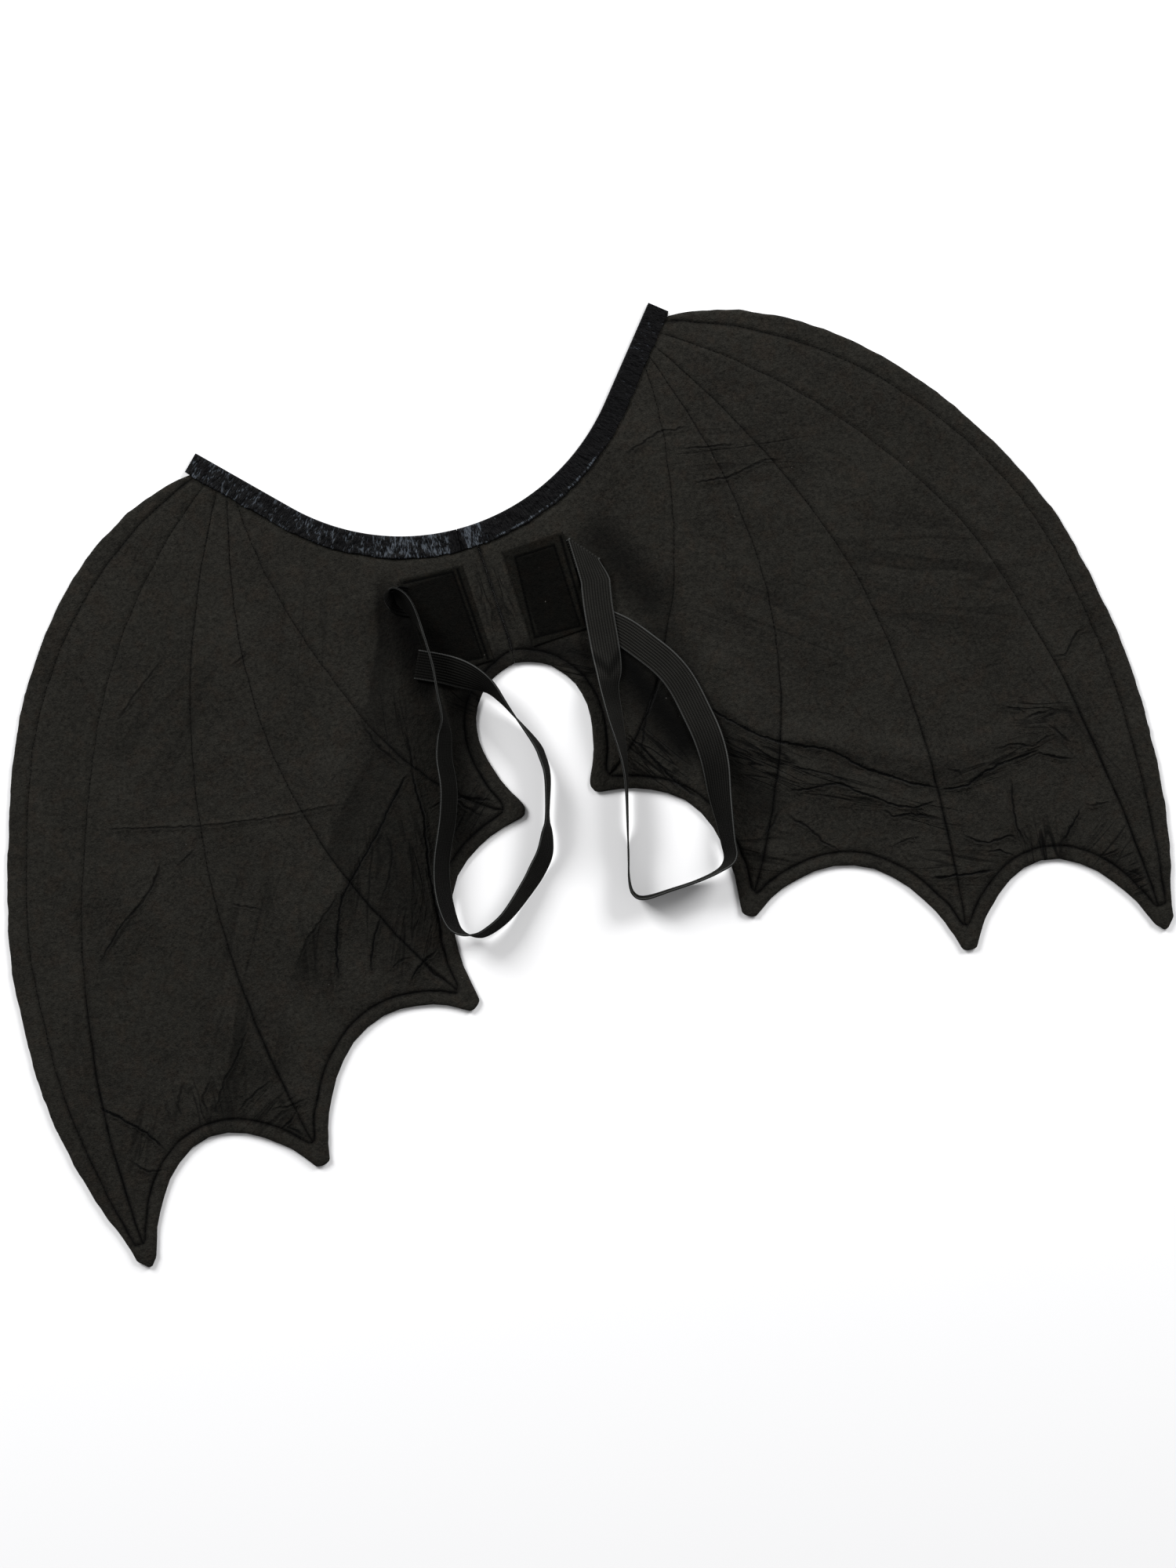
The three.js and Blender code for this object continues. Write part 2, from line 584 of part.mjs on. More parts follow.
function outlineDistance(point, outline) {
  return Math.min(...outline.map((a, i) => {
    const line = outline[(i + 1) % outline.length].clone().sub(a);
    const from = point.clone().sub(a);
    const share = THREE.MathUtils.clamp(from.dot(line) / Math.max(line.lengthSq(), 1e-9), 0, 1);
    return from.addScaledVector(line, -share).length();
  }));
}

// Section of the elastic from its middle, the direction across it and the direction through it
function bandSection(middle, across, through) {
  const half = across.clone().multiplyScalar(STRAP_WIDTH / 2);
  const thin = through.clone().multiplyScalar(STRAP_THICK / 2);
  return [
    middle.clone().sub(half).sub(thin),
    middle.clone().add(half).sub(thin),
    middle.clone().add(half).add(thin),
    middle.clone().sub(half).add(thin),
  ];
}

function loopStations(table, side, outline) {
  const centres = loopCentres(table);
  const rests = centres.map(({ centre, roll, layer }, i) => {
    const before = centres[Math.max(i - 1, 0)].centre;
    const after = centres[Math.min(i + 1, centres.length - 1)].centre;
    const heading = after.clone().sub(before).normalize();
    const right = vector(heading.y, -heading.x);
    const breadth = STRAP_WIDTH * Math.cos(roll);
    const rest = Math.max(...evenSteps(ACROSS_STRAP).map((s) => {
      const under = centre.clone().addScaledVector(right, (s - 0.5) * breadth);
      return restLevel(under, side, outline);
    }));
    return { heading, right, rest: rest + layer * LAYER };
  });
  return centres.map(({ centre, roll }, i) => {
    const { heading, right } = rests[i];
    const near = rests.slice(Math.max(i - 2, 0), i + 3).map((station) => station.rest);
    const across = new THREE.Vector3(right.x, right.y, 0).multiplyScalar(Math.cos(roll));
    across.z = Math.sin(roll);
    const through = across.clone().cross(new THREE.Vector3(heading.x, heading.y, 0));
    const half = (STRAP_WIDTH * Math.abs(across.z) + STRAP_THICK * Math.abs(through.z)) / 2;
    return bandSection(new THREE.Vector3(centre.x, centre.y, Math.max(...near) + half), across, through);
  });
}

// Start of the right loop: flat from under the patch, then folded back over itself along a slanting line
function foldedStart() {
  const y = PATCH_TOP - STRAP_SEAT;
  const slant = headed(FOLD_ANGLE);
  const stretch = 1 / Math.abs(slant.y);
  const along = new THREE.Vector3(slant.x, slant.y, 0).multiplyScalar(stretch);
  const outward = new THREE.Vector3(-slant.y, slant.x, 0);
  const low = CLOTH_LEVEL + STRAP_THICK / 2;
  const straight = new THREE.Vector3(0, -1, 0);
  const up = new THREE.Vector3(0, 0, 1);
  const start = new THREE.Vector3(PATCH_OUTER - STRAP_TUCK, y, low);
  const turns = [0, 45, 90, 135, 180].map((degrees) => {
    const angle = THREE.MathUtils.degToRad(degrees);
    const middle = new THREE.Vector3(PATCH_OUTER + FOLD_OUT, y, low + LAYER / 2);
    middle.addScaledVector(outward, (LAYER / 2) * Math.sin(angle));
    middle.addScaledVector(up, (-LAYER / 2) * Math.cos(angle));
    const through = up.clone().multiplyScalar(Math.cos(angle)).addScaledVector(outward, -Math.sin(angle));
    return bandSection(middle, along, through);
  });
  return [bandSection(start, straight, up), ...turns];
}

function tuckedStart() {
  const y = PATCH_TOP - STRAP_SEAT;
  const middle = new THREE.Vector3(PATCH_OUTER - STRAP_TUCK, y, CLOTH_LEVEL + STRAP_THICK / 2);
  return [bandSection(middle, new THREE.Vector3(0, -1, 0), new THREE.Vector3(0, 0, 1))];
}

function loopGeometry(table, start, side, outline) {
  const stations = [...start, ...loopStations(table, side, outline)];
  stations.forEach((section) => section.forEach((point) => (point.x *= side)));
  return tube(stations, side > 0);
}

// The wing's outline, from the corner at the neck down the outer edge and back up the centre seam
function wingOutline(grid) {
  const last = grid.length - 1;
  const width = grid[0].length - 1;
  return [
    ...grid.map((row) => row[0]),
    ...grid[last].slice(1),
    ...grid.slice(0, last).reverse().map((row) => row[width]),
    ...grid[0].slice(1, width).reverse(),
  ].map((cell) => cell.point);
}

function makePiece(name, geometry, finish) {
  const mesh = new THREE.Mesh(geometry, new THREE.MeshStandardMaterial(finish));
  mesh.name = name;
  return mesh;
}

function makeWings() {
  const grid = wingGrid();
  const outline = wingOutline(grid);
  const end = NECK_LENGTH + BIND_OVERHANG;
  return [
    makePiece("wing_left", wingGeometry(-1, grid), FABRIC),
    makePiece("wing_right", wingGeometry(1, grid), FABRIC),
    makePiece("neck_binding_left", bindingGeometry(-BIND_JOIN - GAP, -end), VELVET),
    makePiece("neck_binding_right", bindingGeometry(-BIND_JOIN, end), VELVET),
    makePiece("patch_left", patchGeometry(-1), PATCH_FABRIC),
    makePiece("patch_right", patchGeometry(1), PATCH_FABRIC),
    makePiece("arm_loop_left", loopGeometry(LEFT_LOOP, tuckedStart(), -1, outline), ELASTIC),
    makePiece("arm_loop_right", loopGeometry(RIGHT_LOOP, foldedStart(), 1, outline), ELASTIC),
  ];
}

// The pieces stand with the middle of their box over the origin
const wings = new THREE.Group();
wings.add(...makeWings());
const box = new THREE.Box3().setFromObject(wings);
const middle = box.getCenter(new THREE.Vector3());
wings.position.set(-middle.x, -middle.y, -box.min.z);

export default wings;
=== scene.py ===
"""Child's padded costume bat wings, lying flat on a pale surface with the wearer's side up.

Two quilted cloth wings are sewn together down the back, bound along the neck with crushed ribbon, and
worn by two loops of ribbed elastic sewn on at two patches. Lengths are in millimetres in the pattern's
own frame, with the bottom of the neckline at its origin, until a mesh is made in metres.
"""

import logging
import math
from dataclasses import dataclass, field
from enum import Enum
from typing import Any, Callable, Sequence

import bpy
import numpy as np
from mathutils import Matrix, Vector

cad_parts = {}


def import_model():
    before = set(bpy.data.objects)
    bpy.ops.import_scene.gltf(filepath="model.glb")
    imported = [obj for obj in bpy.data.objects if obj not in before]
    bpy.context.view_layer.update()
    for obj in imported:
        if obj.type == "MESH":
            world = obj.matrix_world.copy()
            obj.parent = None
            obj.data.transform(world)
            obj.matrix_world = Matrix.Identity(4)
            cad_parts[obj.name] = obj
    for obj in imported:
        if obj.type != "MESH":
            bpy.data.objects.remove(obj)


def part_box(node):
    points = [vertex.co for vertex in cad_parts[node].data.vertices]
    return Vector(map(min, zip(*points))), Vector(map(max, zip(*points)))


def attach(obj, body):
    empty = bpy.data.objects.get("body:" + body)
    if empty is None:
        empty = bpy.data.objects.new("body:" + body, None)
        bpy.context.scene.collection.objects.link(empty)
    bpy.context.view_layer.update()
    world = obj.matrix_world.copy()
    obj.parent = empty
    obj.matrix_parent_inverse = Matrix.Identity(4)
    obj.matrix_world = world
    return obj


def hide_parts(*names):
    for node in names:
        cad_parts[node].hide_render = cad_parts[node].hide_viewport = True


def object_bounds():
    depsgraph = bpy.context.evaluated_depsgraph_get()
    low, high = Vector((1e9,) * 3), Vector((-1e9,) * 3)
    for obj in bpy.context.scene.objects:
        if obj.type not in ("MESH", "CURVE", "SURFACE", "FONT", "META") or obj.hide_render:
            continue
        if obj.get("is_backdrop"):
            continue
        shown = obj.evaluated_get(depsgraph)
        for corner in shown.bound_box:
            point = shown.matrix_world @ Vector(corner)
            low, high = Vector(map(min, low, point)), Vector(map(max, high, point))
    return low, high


MM = 0.001  # metres in a millimetre
CREASE_REACH = 4.5  # millimetres from a crease's line to where the cloth is flat again
CREASE_LAYERS = 6
WRINKLE_LAYERS = 5
log = logging.getLogger("bat_wings")


class Side(Enum):
    """The two wings, by the sign of their X."""

    LEFT = -1
    RIGHT = 1

    @property
    def label(self) -> str:
        """Ending of the names of this side's pieces."""
        return self.name.lower()


def smooth(x: Any) -> Any:
    """Smooth step from 0 to 1."""
    x = np.clip(x, 0.0, 1.0)
    return x * x * (3.0 - 2.0 * x)


def puffed(x: Any) -> Any:
    """Quarter round from 0 to 1."""
    return np.sqrt(1.0 - (1.0 - np.clip(x, 0.0, 1.0)) ** 2)


def lerp(a: Any, b: Any, share: Any) -> Any:
    """Value between two others."""
    return a + (b - a) * share


def headed(degrees: Any) -> np.ndarray:
    """Unit vector with a heading in degrees."""
    angle = np.radians(degrees)
    return np.stack([np.cos(angle), np.sin(angle)], axis=-1)


def eased(places: np.ndarray, stations: np.ndarray, rows: np.ndarray) -> np.ndarray:
    """Values between stations on smooth curves through them.

    Args:
        places: places wanted, within the stations.
        stations: rising places of the known values.
        rows: a known value, or several, for each station.

    Returns:
        A row for each place.
    """
    count = len(stations)
    after, before = np.minimum(np.arange(count) + 1, count - 1), np.maximum(np.arange(count) - 1, 0)
    slopes = (rows[after] - rows[before]) / (stations[after] - stations[before])[:, None]
    i = np.clip(np.searchsorted(stations, places, side="right") - 1, 0, count - 2)
    span = (stations[i + 1] - stations[i])[:, None]
    t = (places - stations[i])[:, None] / span
    start, end = rows[i], rows[i + 1]
    leave, arrive = slopes[i] * span, slopes[i + 1] * span
    cubic = 2 * start - 2 * end + leave + arrive
    square = 3 * end - 3 * start - 2 * leave - arrive
    return (cubic * t + square) * t * t + leave * t + start


def value_noise(x: np.ndarray, y: np.ndarray, size: float, seed: int) -> np.ndarray:
    """Smooth random heights from -1 to 1 over the plane.

    Args:
        x, y: places in millimetres.
        size: distance between the random heights.
        seed: picks the heights.

    Returns:
        A height for each place.
    """
    lattice = np.random.default_rng(seed).uniform(-1.0, 1.0, (256, 256))
    column, row = np.floor(x / size).astype(int), np.floor(y / size).astype(int)
    across, along = smooth(x / size - column), smooth(y / size - row)
    corner = lambda i, j: lattice[(row + j) % 256, (column + i) % 256]
    upper = lerp(corner(0, 0), corner(1, 0), across)
    lower = lerp(corner(0, 1), corner(1, 1), across)
    return lerp(upper, lower, along)


class Line:
    """A line of dense points, read by shares of its length."""

    def __init__(self, points: np.ndarray) -> None:
        """Keeps the points and the share at which each lies."""
        self.points = np.asarray(points, float)
        steps = np.linalg.norm(np.diff(self.points, axis=0), axis=1)
        self.length = float(steps.sum())
        self.shares = np.r_[0.0, np.cumsum(steps)] / self.length

    def at(self, share: Any) -> np.ndarray:
        """Points at shares of the length."""
        return np.stack([np.interp(share, self.shares, axis) for axis in self.points.T], axis=-1)

    def distance(self, places: np.ndarray) -> tuple[np.ndarray, np.ndarray]:
        """Distance of places from the line, and the share of it that is nearest to each.

        Args:
            places: places in millimetres.

        Returns:
            The distance and the share for each place.
        """
        start, run = self.points[:-1], np.diff(self.points, axis=0)
        best = np.full(len(places), np.inf)
        share = np.zeros(len(places))
        for a, d, s, e in zip(start, run, self.shares[:-1], self.shares[1:]):
            along = np.clip(((places - a) @ d) / max(d @ d, 1e-12), 0.0, 1.0)
            gap = np.hypot(*(places - a - along[:, None] * d).T)
            nearer = gap < best
            best[nearer] = gap[nearer]
            share[nearer] = lerp(s, e, along[nearer])
        return best, share


@dataclass(frozen=True)
class Bend:
    """Headings of a curve's two ends in degrees, and their pulls as shares of its straight length."""

    leave: float
    leave_pull: float
    arrive: float
    arrive_pull: float

    def line(self, start: np.ndarray, end: np.ndarray, steps: int = 60) -> Line:
        """Curve from a start to an end.

        Args:
            start, end: its two ends.
            steps: how many straight pieces it has.

        Returns:
            The curve.
        """
        straight = float(np.linalg.norm(end - start))
        first = start + headed(self.leave) * self.leave_pull * straight
        second = end - headed(self.arrive) * self.arrive_pull * straight
        t = np.linspace(0.0, 1.0, steps + 1)[:, None]
        u = 1.0 - t
        return Line(u**3 * start + 3 * u * u * t * first + 3 * u * t * t * second + t**3 * end)


@dataclass(frozen=True)
class Rib:
    """A line of rib stitches: its tip as shares of the wing's reach and drop, and its bend."""

    tip_x: float
    tip_y: float
    bend: Bend


@dataclass(frozen=True)
class Rise:
    """A soft rise of the cloth: its ends as shares of the reach and drop, its height and half width."""

    side: Side
    start: tuple[float, float]
    end: tuple[float, float]
    height: float
    spread: float


@dataclass(frozen=True)
class Neckline:
    """Round bottom of the neckline with straight flanks, by its length from the centre seam."""

    radius: float = 150.0
    flank_angle: float = 48.0
    flank: float = 70.0

    @property
    def arc(self) -> float:
        """Length of the round part on one side."""
        return self.radius * math.radians(self.flank_angle)

    @property
    def length(self) -> float:
        """Length of one side."""
        return self.arc + self.flank

    def point(self, length: Any) -> np.ndarray:
        """Points at lengths along the neckline, to the left below zero.

        Args:
            length: lengths in millimetres from the centre seam.

        Returns:
            A point for each length.
        """
        length = np.asarray(length, float)
        angle = np.minimum(np.abs(length), self.arc) / self.radius
        beyond = np.maximum(np.abs(length) - self.arc, 0.0)[..., None]
        arc = self.radius * np.stack([np.sin(angle), 1.0 - np.cos(angle)], axis=-1)
        found = arc + beyond * headed(self.flank_angle)
        found[..., 0] *= np.where(length < 0, -1.0, 1.0)
        return found

    def inward(self, length: Any) -> np.ndarray:
        """Directions from the neckline into the cloth."""
        angle = np.clip(length, -self.arc, self.arc) / self.radius
        return np.stack([np.sin(angle), -np.cos(angle)], axis=-1)

    def distance(self, places: np.ndarray) -> np.ndarray:
        """Distance of places from the neckline, for places at X above zero.

        Args:
            places: places in millimetres.

        Returns:
            A distance for each place.
        """
        off = places - np.array([0.0, self.radius])
        angle = np.degrees(np.arctan2(off[..., 0], -off[..., 1]))
        from_flank = (places - self.point(self.length)) @ self.inward(self.length)
        return np.where(angle <= self.flank_angle, np.hypot(*off.T).T - self.radius, from_flank)


@dataclass(frozen=True)
class Panel:
    """A stretch of one wing between two of its lines."""

    left: Line
    right: Line
    top: Callable[[Any], np.ndarray]
    bottom: Callable[[Any], np.ndarray]
    columns: int
    tip_end: bool
    last: bool

    def points(self, u: np.ndarray, v: np.ndarray) -> np.ndarray:
        """Points blended from the four edges, u and v of one shape.

        Args:
            u: shares of the way from left to right.
            v: shares of the way down.

        Returns:
            A point for each pair.
        """
        u1, v1 = u[..., None], v[..., None]
        across = lerp(self.left.at(v), self.right.at(v), u1)
        along = lerp(self.top(u), self.bottom(u), v1)
        upper = lerp(self.top(0.0), self.top(1.0), u1)
        lower = lerp(self.bottom(0.0), self.bottom(1.0), u1)
        return across + along - lerp(upper, lower, v1)

    def inset(self, u: np.ndarray, cut: "Pattern") -> np.ndarray:
        """Length along the panel's own lines from the lower edge to the hem stitches beside it.

        Args:
            u: shares of the way from left to right.
            cut: the pattern that the panel is of.

        Returns:
            A length for each place.
        """
        if self.tip_end:
            return np.full_like(u, cut.tip_inset)
        margin = 1.3 * cut.tip_blend / Line(self.bottom(np.linspace(0.0, 1.0, 40))).length
        plain = np.clip(u, margin, 1.0 if self.last else 1.0 - margin)
        edge = self.bottom(np.minimum(plain + 0.01, 1.0)) - self.bottom(plain - 0.01)
        down = self.points(u, np.ones_like(u)) - self.points(u, np.full_like(u, 0.93))
        turn = np.abs(edge[:, 0] * down[:, 1] - edge[:, 1] * down[:, 0])
        sine = turn / (np.linalg.norm(edge, axis=1) * np.linalg.norm(down, axis=1))
        return np.minimum(cut.hem_inset / np.maximum(sine, 0.3), cut.tip_inset)


@dataclass(frozen=True)
class Pattern:
    """Outline, ribs and hem of one wing, in millimetres, with X outwards from the centre seam."""

    reach: float = 392.0
    drop: float = 403.0
    tip_round: float = 6.0
    tip_blend: float = 12.0
    seam: float = 96.5
    askew: float = 4.5
    notch_shift: float = 2.2
    hem_inset: float = 9.0
    tip_inset: float = 18.0
    hem_start: float = 11.0
    rib_spacing: float = 3.5
    gap: float = 0.3
    neck: Neckline = Neckline()
    ribs: tuple[Rib, ...] = (
        Rib(0.915, 1.0, Bend(-33, 0.33, -91, 0.43)),
        Rib(0.581, 0.929, Bend(-57, 0.41, -100, 0.37)),
        Rib(0.246, 0.759, Bend(-72, 0.28, -124, 0.51)),
        Rib(0.062, 0.479, Bend(-77, 0.21, -163, 0.3)),
    )
    edge_bend: Bend = Bend(-4, 0.3, -113, 0.42)
    hem_bend: Bend = Bend(-14, 0.33, -103, 0.48)
    lower_bends: tuple[Bend, ...] = (
        Bend(110, 0.63, -126, 0.72),
        Bend(104, 0.38, -149, 0.66),
        Bend(83, 0.54, 173, 0.53),
        Bend(56, 0.58, 171, 0.42),
    )
    lie: tuple[tuple[float, float], ...] = (
        (-0.3, 0.0), (0.0, 0.5), (0.25, 1.0), (0.49, 0.0), (0.72, -0.6), (1.1, -0.4),
    )
    panel_columns: tuple[int, ...] = (10, 26, 74, 70, 64, 80)

    def tip(self, rib: Rib) -> np.ndarray:
        """Tip that a rib runs to."""
        return np.array([rib.tip_x * self.reach, -rib.tip_y * self.drop])

    def sharp_tip(self, rib: Rib) -> np.ndarray:
        """The tip before it was rounded off."""
        return self.tip(rib) + headed(rib.bend.arrive) * self.tip_round

    def rib_start(self, i: int) -> float:
        """Length along the neckline at which a rib starts."""
        return self.neck.length - self.hem_start - (i + 1) * self.rib_spacing

    def neck_edge(self, length: Any) -> np.ndarray:
        """Edge of the cloth inside the binding."""
        return self.neck.point(length) + self.neck.inward(length) * self.gap

    def side_lines(self, bind_clear: float) -> list[Line]:
        """Outer edge, outer hem stitches, ribs and centre seam.

        Args:
            bind_clear: length from the neckline to where the outer edge starts.

        Returns:
            The lines in that order.
        """
        corner = self.neck.point(self.neck.length)
        below = corner + self.neck.inward(self.neck.length) * bind_clear
        end = self.tip(self.ribs[0])
        edge = self.edge_bend.line(below, end + np.array([0.62, 0.5]) * self.tip_round)
        hem_from = self.neck_edge(self.rib_start(-1))
        hem = self.hem_bend.line(hem_from, end + np.array([0.3, 0.12]) * self.tip_round)
        starts = [self.neck_edge(self.rib_start(i)) for i in range(len(self.ribs))]
        ribs = [rib.bend.line(start, self.tip(rib)) for start, rib in zip(starts, self.ribs)]
        seam = Line(np.array([[self.gap / 2, -self.gap], [self.gap / 2, -self.seam]]))
        return [edge, hem, *ribs, seam]

    def lower_edge(self, i: int) -> Callable[[Any], np.ndarray]:
        """Scalloped edge from one tip to the next, with its tips rounded off, by share of its length.

        Args:
            i: number of the tip that it starts from.

        Returns:
            The edge's point at a share.
        """
        inner = self.ribs[i + 1] if i + 1 < len(self.ribs) else None
        end = self.sharp_tip(inner) if inner else np.array([self.gap / 2, -self.seam])
        line = self.lower_bends[i].line(self.sharp_tip(self.ribs[i]), end)

        def rounded(u: Any) -> np.ndarray:
            """Point of the edge after rounding."""
            u = np.asarray(u, float)
            found = line.at(u)
            for rib, distance in ((self.ribs[i], u * line.length), (inner, (1 - u) * line.length)):
                if rib:
                    back = self.tip_round * np.maximum(1 - distance / self.tip_blend, 0) ** 2
                    found = found - back[..., None] * headed(rib.bend.arrive)
            return found

        return rounded

    def panels(self, bind_clear: float) -> list[Panel]:
        """Panels from the outer edge to the centre seam, the border outside the hem first.

        Args:
            bind_clear: length from the neckline to where the outer edge starts.

        Returns:
            The panels.
        """
        lines = self.side_lines(bind_clear)
        straight = lambda a, b: lambda u: lerp(a, b, np.asarray(u, float)[..., None])
        made = []
        for i, (left, right) in enumerate(zip(lines, lines[1:])):
            last = i == len(lines) - 2
            start, end = self.rib_start(i - 2), 0.0 if last else self.rib_start(i - 1)
            along_neck = lambda u, a=start, b=end: self.neck_edge(lerp(a, b, np.asarray(u, float)))
            top = straight(left.at(0.0), right.at(0.0)) if i == 0 else along_neck
            bottom = straight(left.at(1.0), right.at(1.0)) if i < 2 else self.lower_edge(i - 2)
            made.append(Panel(left, right, top, bottom, self.panel_columns[i], i < 2, last))
        return made

    def shift(self, places: np.ndarray) -> np.ndarray:
        """Sideways shift of the outer wing, which lies a little askew.

        Args:
            places: places in millimetres.

        Returns:
            A shift in millimetres for each place.
        """
        downs, shares = zip(*self.lie)
        down = -places[..., 1] / self.drop
        i = np.clip(np.searchsorted(downs, down), 1, len(downs) - 1)
        above, below = np.array(downs)[i - 1], np.array(downs)[i]
        step = smooth((down - above) / (below - above))
        amount = lerp(np.array(shares)[i - 1], np.array(shares)[i], step)
        out = places[..., 0] / self.reach
        outer = self.askew * amount * smooth((out - 0.45) / 0.4)
        inner = smooth((-places[..., 1] - 80) / 30) * (1 - smooth((out - 0.25) / 0.2))
        return outer - self.notch_shift * inner


@dataclass(frozen=True)
class Placing:
    """Where the pattern's origin lies in the row frame, in metres."""

    x: float
    y: float

    @classmethod
    def from_frame(cls, patch_drop: float) -> "Placing":
        """Works the place out from the boxes of the two patches.

        Args:
            patch_drop: length from the origin down to the patches' top.

        Returns:
            The placing.
        """
        _, left_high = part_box("patch_left")
        right_low, right_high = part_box("patch_right")
        return cls((left_high[0] + right_low[0]) / 2, right_high[1] + patch_drop * MM)

    def place(self, points: np.ndarray) -> np.ndarray:
        """Points of the pattern in the row frame."""
        return np.asarray(points, float) * MM + np.array([self.x, self.y, 0.0])


def new_object(
    name: str, vertices: np.ndarray, faces: Sequence[Sequence[int]], turned: bool = False
) -> bpy.types.Object:
    """Smooth-shaded mesh object at the origin.

    Args:
        name: name of the piece.
        vertices: points in metres.
        faces: corner numbers of each face.
        turned: whether each face is turned round.

    Returns:
        The linked object.
    """
    corners = [list(map(int, face))[:: -1 if turned else 1] for face in faces]
    mesh = bpy.data.meshes.new(name)
    mesh.from_pydata(np.asarray(vertices).tolist(), [], corners)
    mesh.shade_smooth()
    mesh.validate()
    made = bpy.data.objects.new(name, mesh)
    bpy.context.scene.collection.objects.link(made)
    return made


def grid_faces(rows: int, columns: int, offset: int = 0) -> list[list[int]]:
    """Four-cornered faces of a grid of points, the first of which has the offset as its number."""
    i, j = np.mgrid[0 : rows - 1, 0 : columns - 1]
    a = (offset + i * columns + j).ravel()
    return np.stack([a, a + columns, a + columns + 1, a + 1], axis=1).tolist()


def tube_faces(rows: int, count: int, turned: bool = False) -> list[list[int]]:
    """Faces of a closed band with its two ends.

    Args:
        rows: how many sections it has.
        count: points of each section.
        turned: whether its faces go round the other way.

    Returns:
        Corner numbers of each face.
    """
    faces = []
    for i in range(rows - 1):
        for j in range(count):
            a, b = i * count + j, i * count + (j + 1) % count
            faces.append([a, a + count, b + count, b] if turned else [a, b, b + count, a + count])
    ends = [list(range(count)), list(range(rows * count - 1, (rows - 1) * count - 1, -1))]
    return faces + (ends if turned else [end[::-1] for end in ends])


def rim_faces(rows: int, columns: int, row_picks: list, column_picks: list) -> list[list[int]]:
    """Faces between the edge of a fine upper grid and that of a coarse lower one.

    Args:
        rows, columns: size of the upper grid.
        row_picks, column_picks: rows and columns of the upper grid that the lower one has.

    Returns:
        Corner numbers of each face.
    """
    offset, width = rows * columns, len(column_picks)
    faces = []
    for i, (a, b) in enumerate(zip(column_picks, column_picks[1:])):
        for row, last, turned in ((0, 0, False), (rows - 1, len(row_picks) - 1, True)):
            fine = [row * columns + j for j in range(a, b + 1)]
            base = offset + last * width + i
            face = [*fine, base + 1, base]
            faces.append(face[::-1] if turned else face)
    for i, (a, b) in enumerate(zip(row_picks, row_picks[1:])):
        for column, last, turned in ((0, 0, True), (columns - 1, width - 1, False)):
            fine = [k * columns + column for k in range(a, b + 1)]
            base = offset + i * width + last
            face = [*fine, base + width, base]
            faces.append(face[::-1] if turned else face)
    return faces


def new_slab(
    name: str, upper: np.ndarray, lower: np.ndarray, coarse: int, placing: Placing, turned: bool
) -> bpy.types.Object:
    """Cloth with a fine upper side and a coarse lower one.

    Args:
        name: name of the piece.
        upper, lower: grids of points of the two sides, in millimetres.
        coarse: how many rows or columns of the upper grid one of the lower grid spans.
        placing: where the pattern lies.
        turned: whether its faces go round the other way.

    Returns:
        The linked object, with the upper side's points first.
    """
    rows, columns = upper.shape[:2]
    row_picks = sorted({*range(0, rows, coarse), rows - 1})
    column_picks = sorted({*range(0, columns, coarse), columns - 1})
    under = lower[np.ix_(row_picks, column_picks)]
    faces = grid_faces(rows, columns)
    faces += [face[::-1] for face in grid_faces(*under.shape[:2], rows * columns)]
    faces += rim_faces(rows, columns, row_picks, column_picks)
    vertices = np.concatenate([upper.reshape(-1, 3), under.reshape(-1, 3)])
    return new_object(name, placing.place(vertices), faces, turned)


def set_attribute(made: bpy.types.Object, name: str, values: np.ndarray) -> None:
    """Gives the vertices numbers that the material reads.

    Args:
        made: the object.
        name: name of the attribute.
        values: one number or three for each of the first vertices; the others get 0.
    """
    kind, key = ("FLOAT", "value") if values.ndim == 1 else ("FLOAT_VECTOR", "vector")
    full = np.zeros((len(made.data.vertices), *values.shape[1:]), np.float32)
    full[: len(values)] = values
    made.data.attributes.new(name, kind, "POINT").data.foreach_set(key, full.ravel())


def set_uv(made: bpy.types.Object, per_vertex: np.ndarray) -> None:
    """Gives the mesh a UV map from a pair of numbers for each vertex."""
    corners = np.zeros(len(made.data.loops), dtype=np.int32)
    made.data.loops.foreach_get("vertex_index", corners)
    layer = made.data.uv_layers.new(name="cloth")
    layer.uv.foreach_set("vector", per_vertex[corners].astype(np.float32).ravel())


class Sum:
    """A number in a material, written with + - * and /."""

    def __init__(self, recipe: "Recipe", socket: bpy.types.NodeSocket) -> None:
        """Wraps a node's output."""
        self.recipe = recipe
        self.socket = socket

    def _with(self, operation: str, *values: Any) -> "Sum":
        """Result of a Math node on values or sockets."""
        made = self.recipe.node("ShaderNodeMath", {"operation": operation}, dict(enumerate(values)))
        return Sum(self.recipe, made)

    def __add__(self, other: Any) -> "Sum":
        """Sum with a number."""
        return self._with("ADD", self, other)

    __radd__ = __add__

    def __sub__(self, other: Any) -> "Sum":
        """Difference from a number."""
        return self._with("SUBTRACT", self, other)

    def __rsub__(self, other: Any) -> "Sum":
        """Difference of a number from this."""
        return self._with("SUBTRACT", other, self)

    def __mul__(self, other: Any) -> "Sum":
        """Product with a number."""
        return self._with("MULTIPLY", self, other)

    __rmul__ = __mul__

    def __abs__(self) -> "Sum":
        """This without its sign."""
        return self._with("ABSOLUTE", self)

    def sine(self) -> "Sum":
        """Sine of this in radians."""
        return self._with("SINE", self)

    def stepped(self, low: float, high: float) -> "Sum":
        """Smooth step from 0 below one value to 1 above another."""
        settings = {"interpolation_type": "SMOOTHSTEP"}
        inputs = {"Value": self, "From Min": low, "From Max": high}
        return Sum(self.recipe, self.recipe.node("ShaderNodeMapRange", settings, inputs))


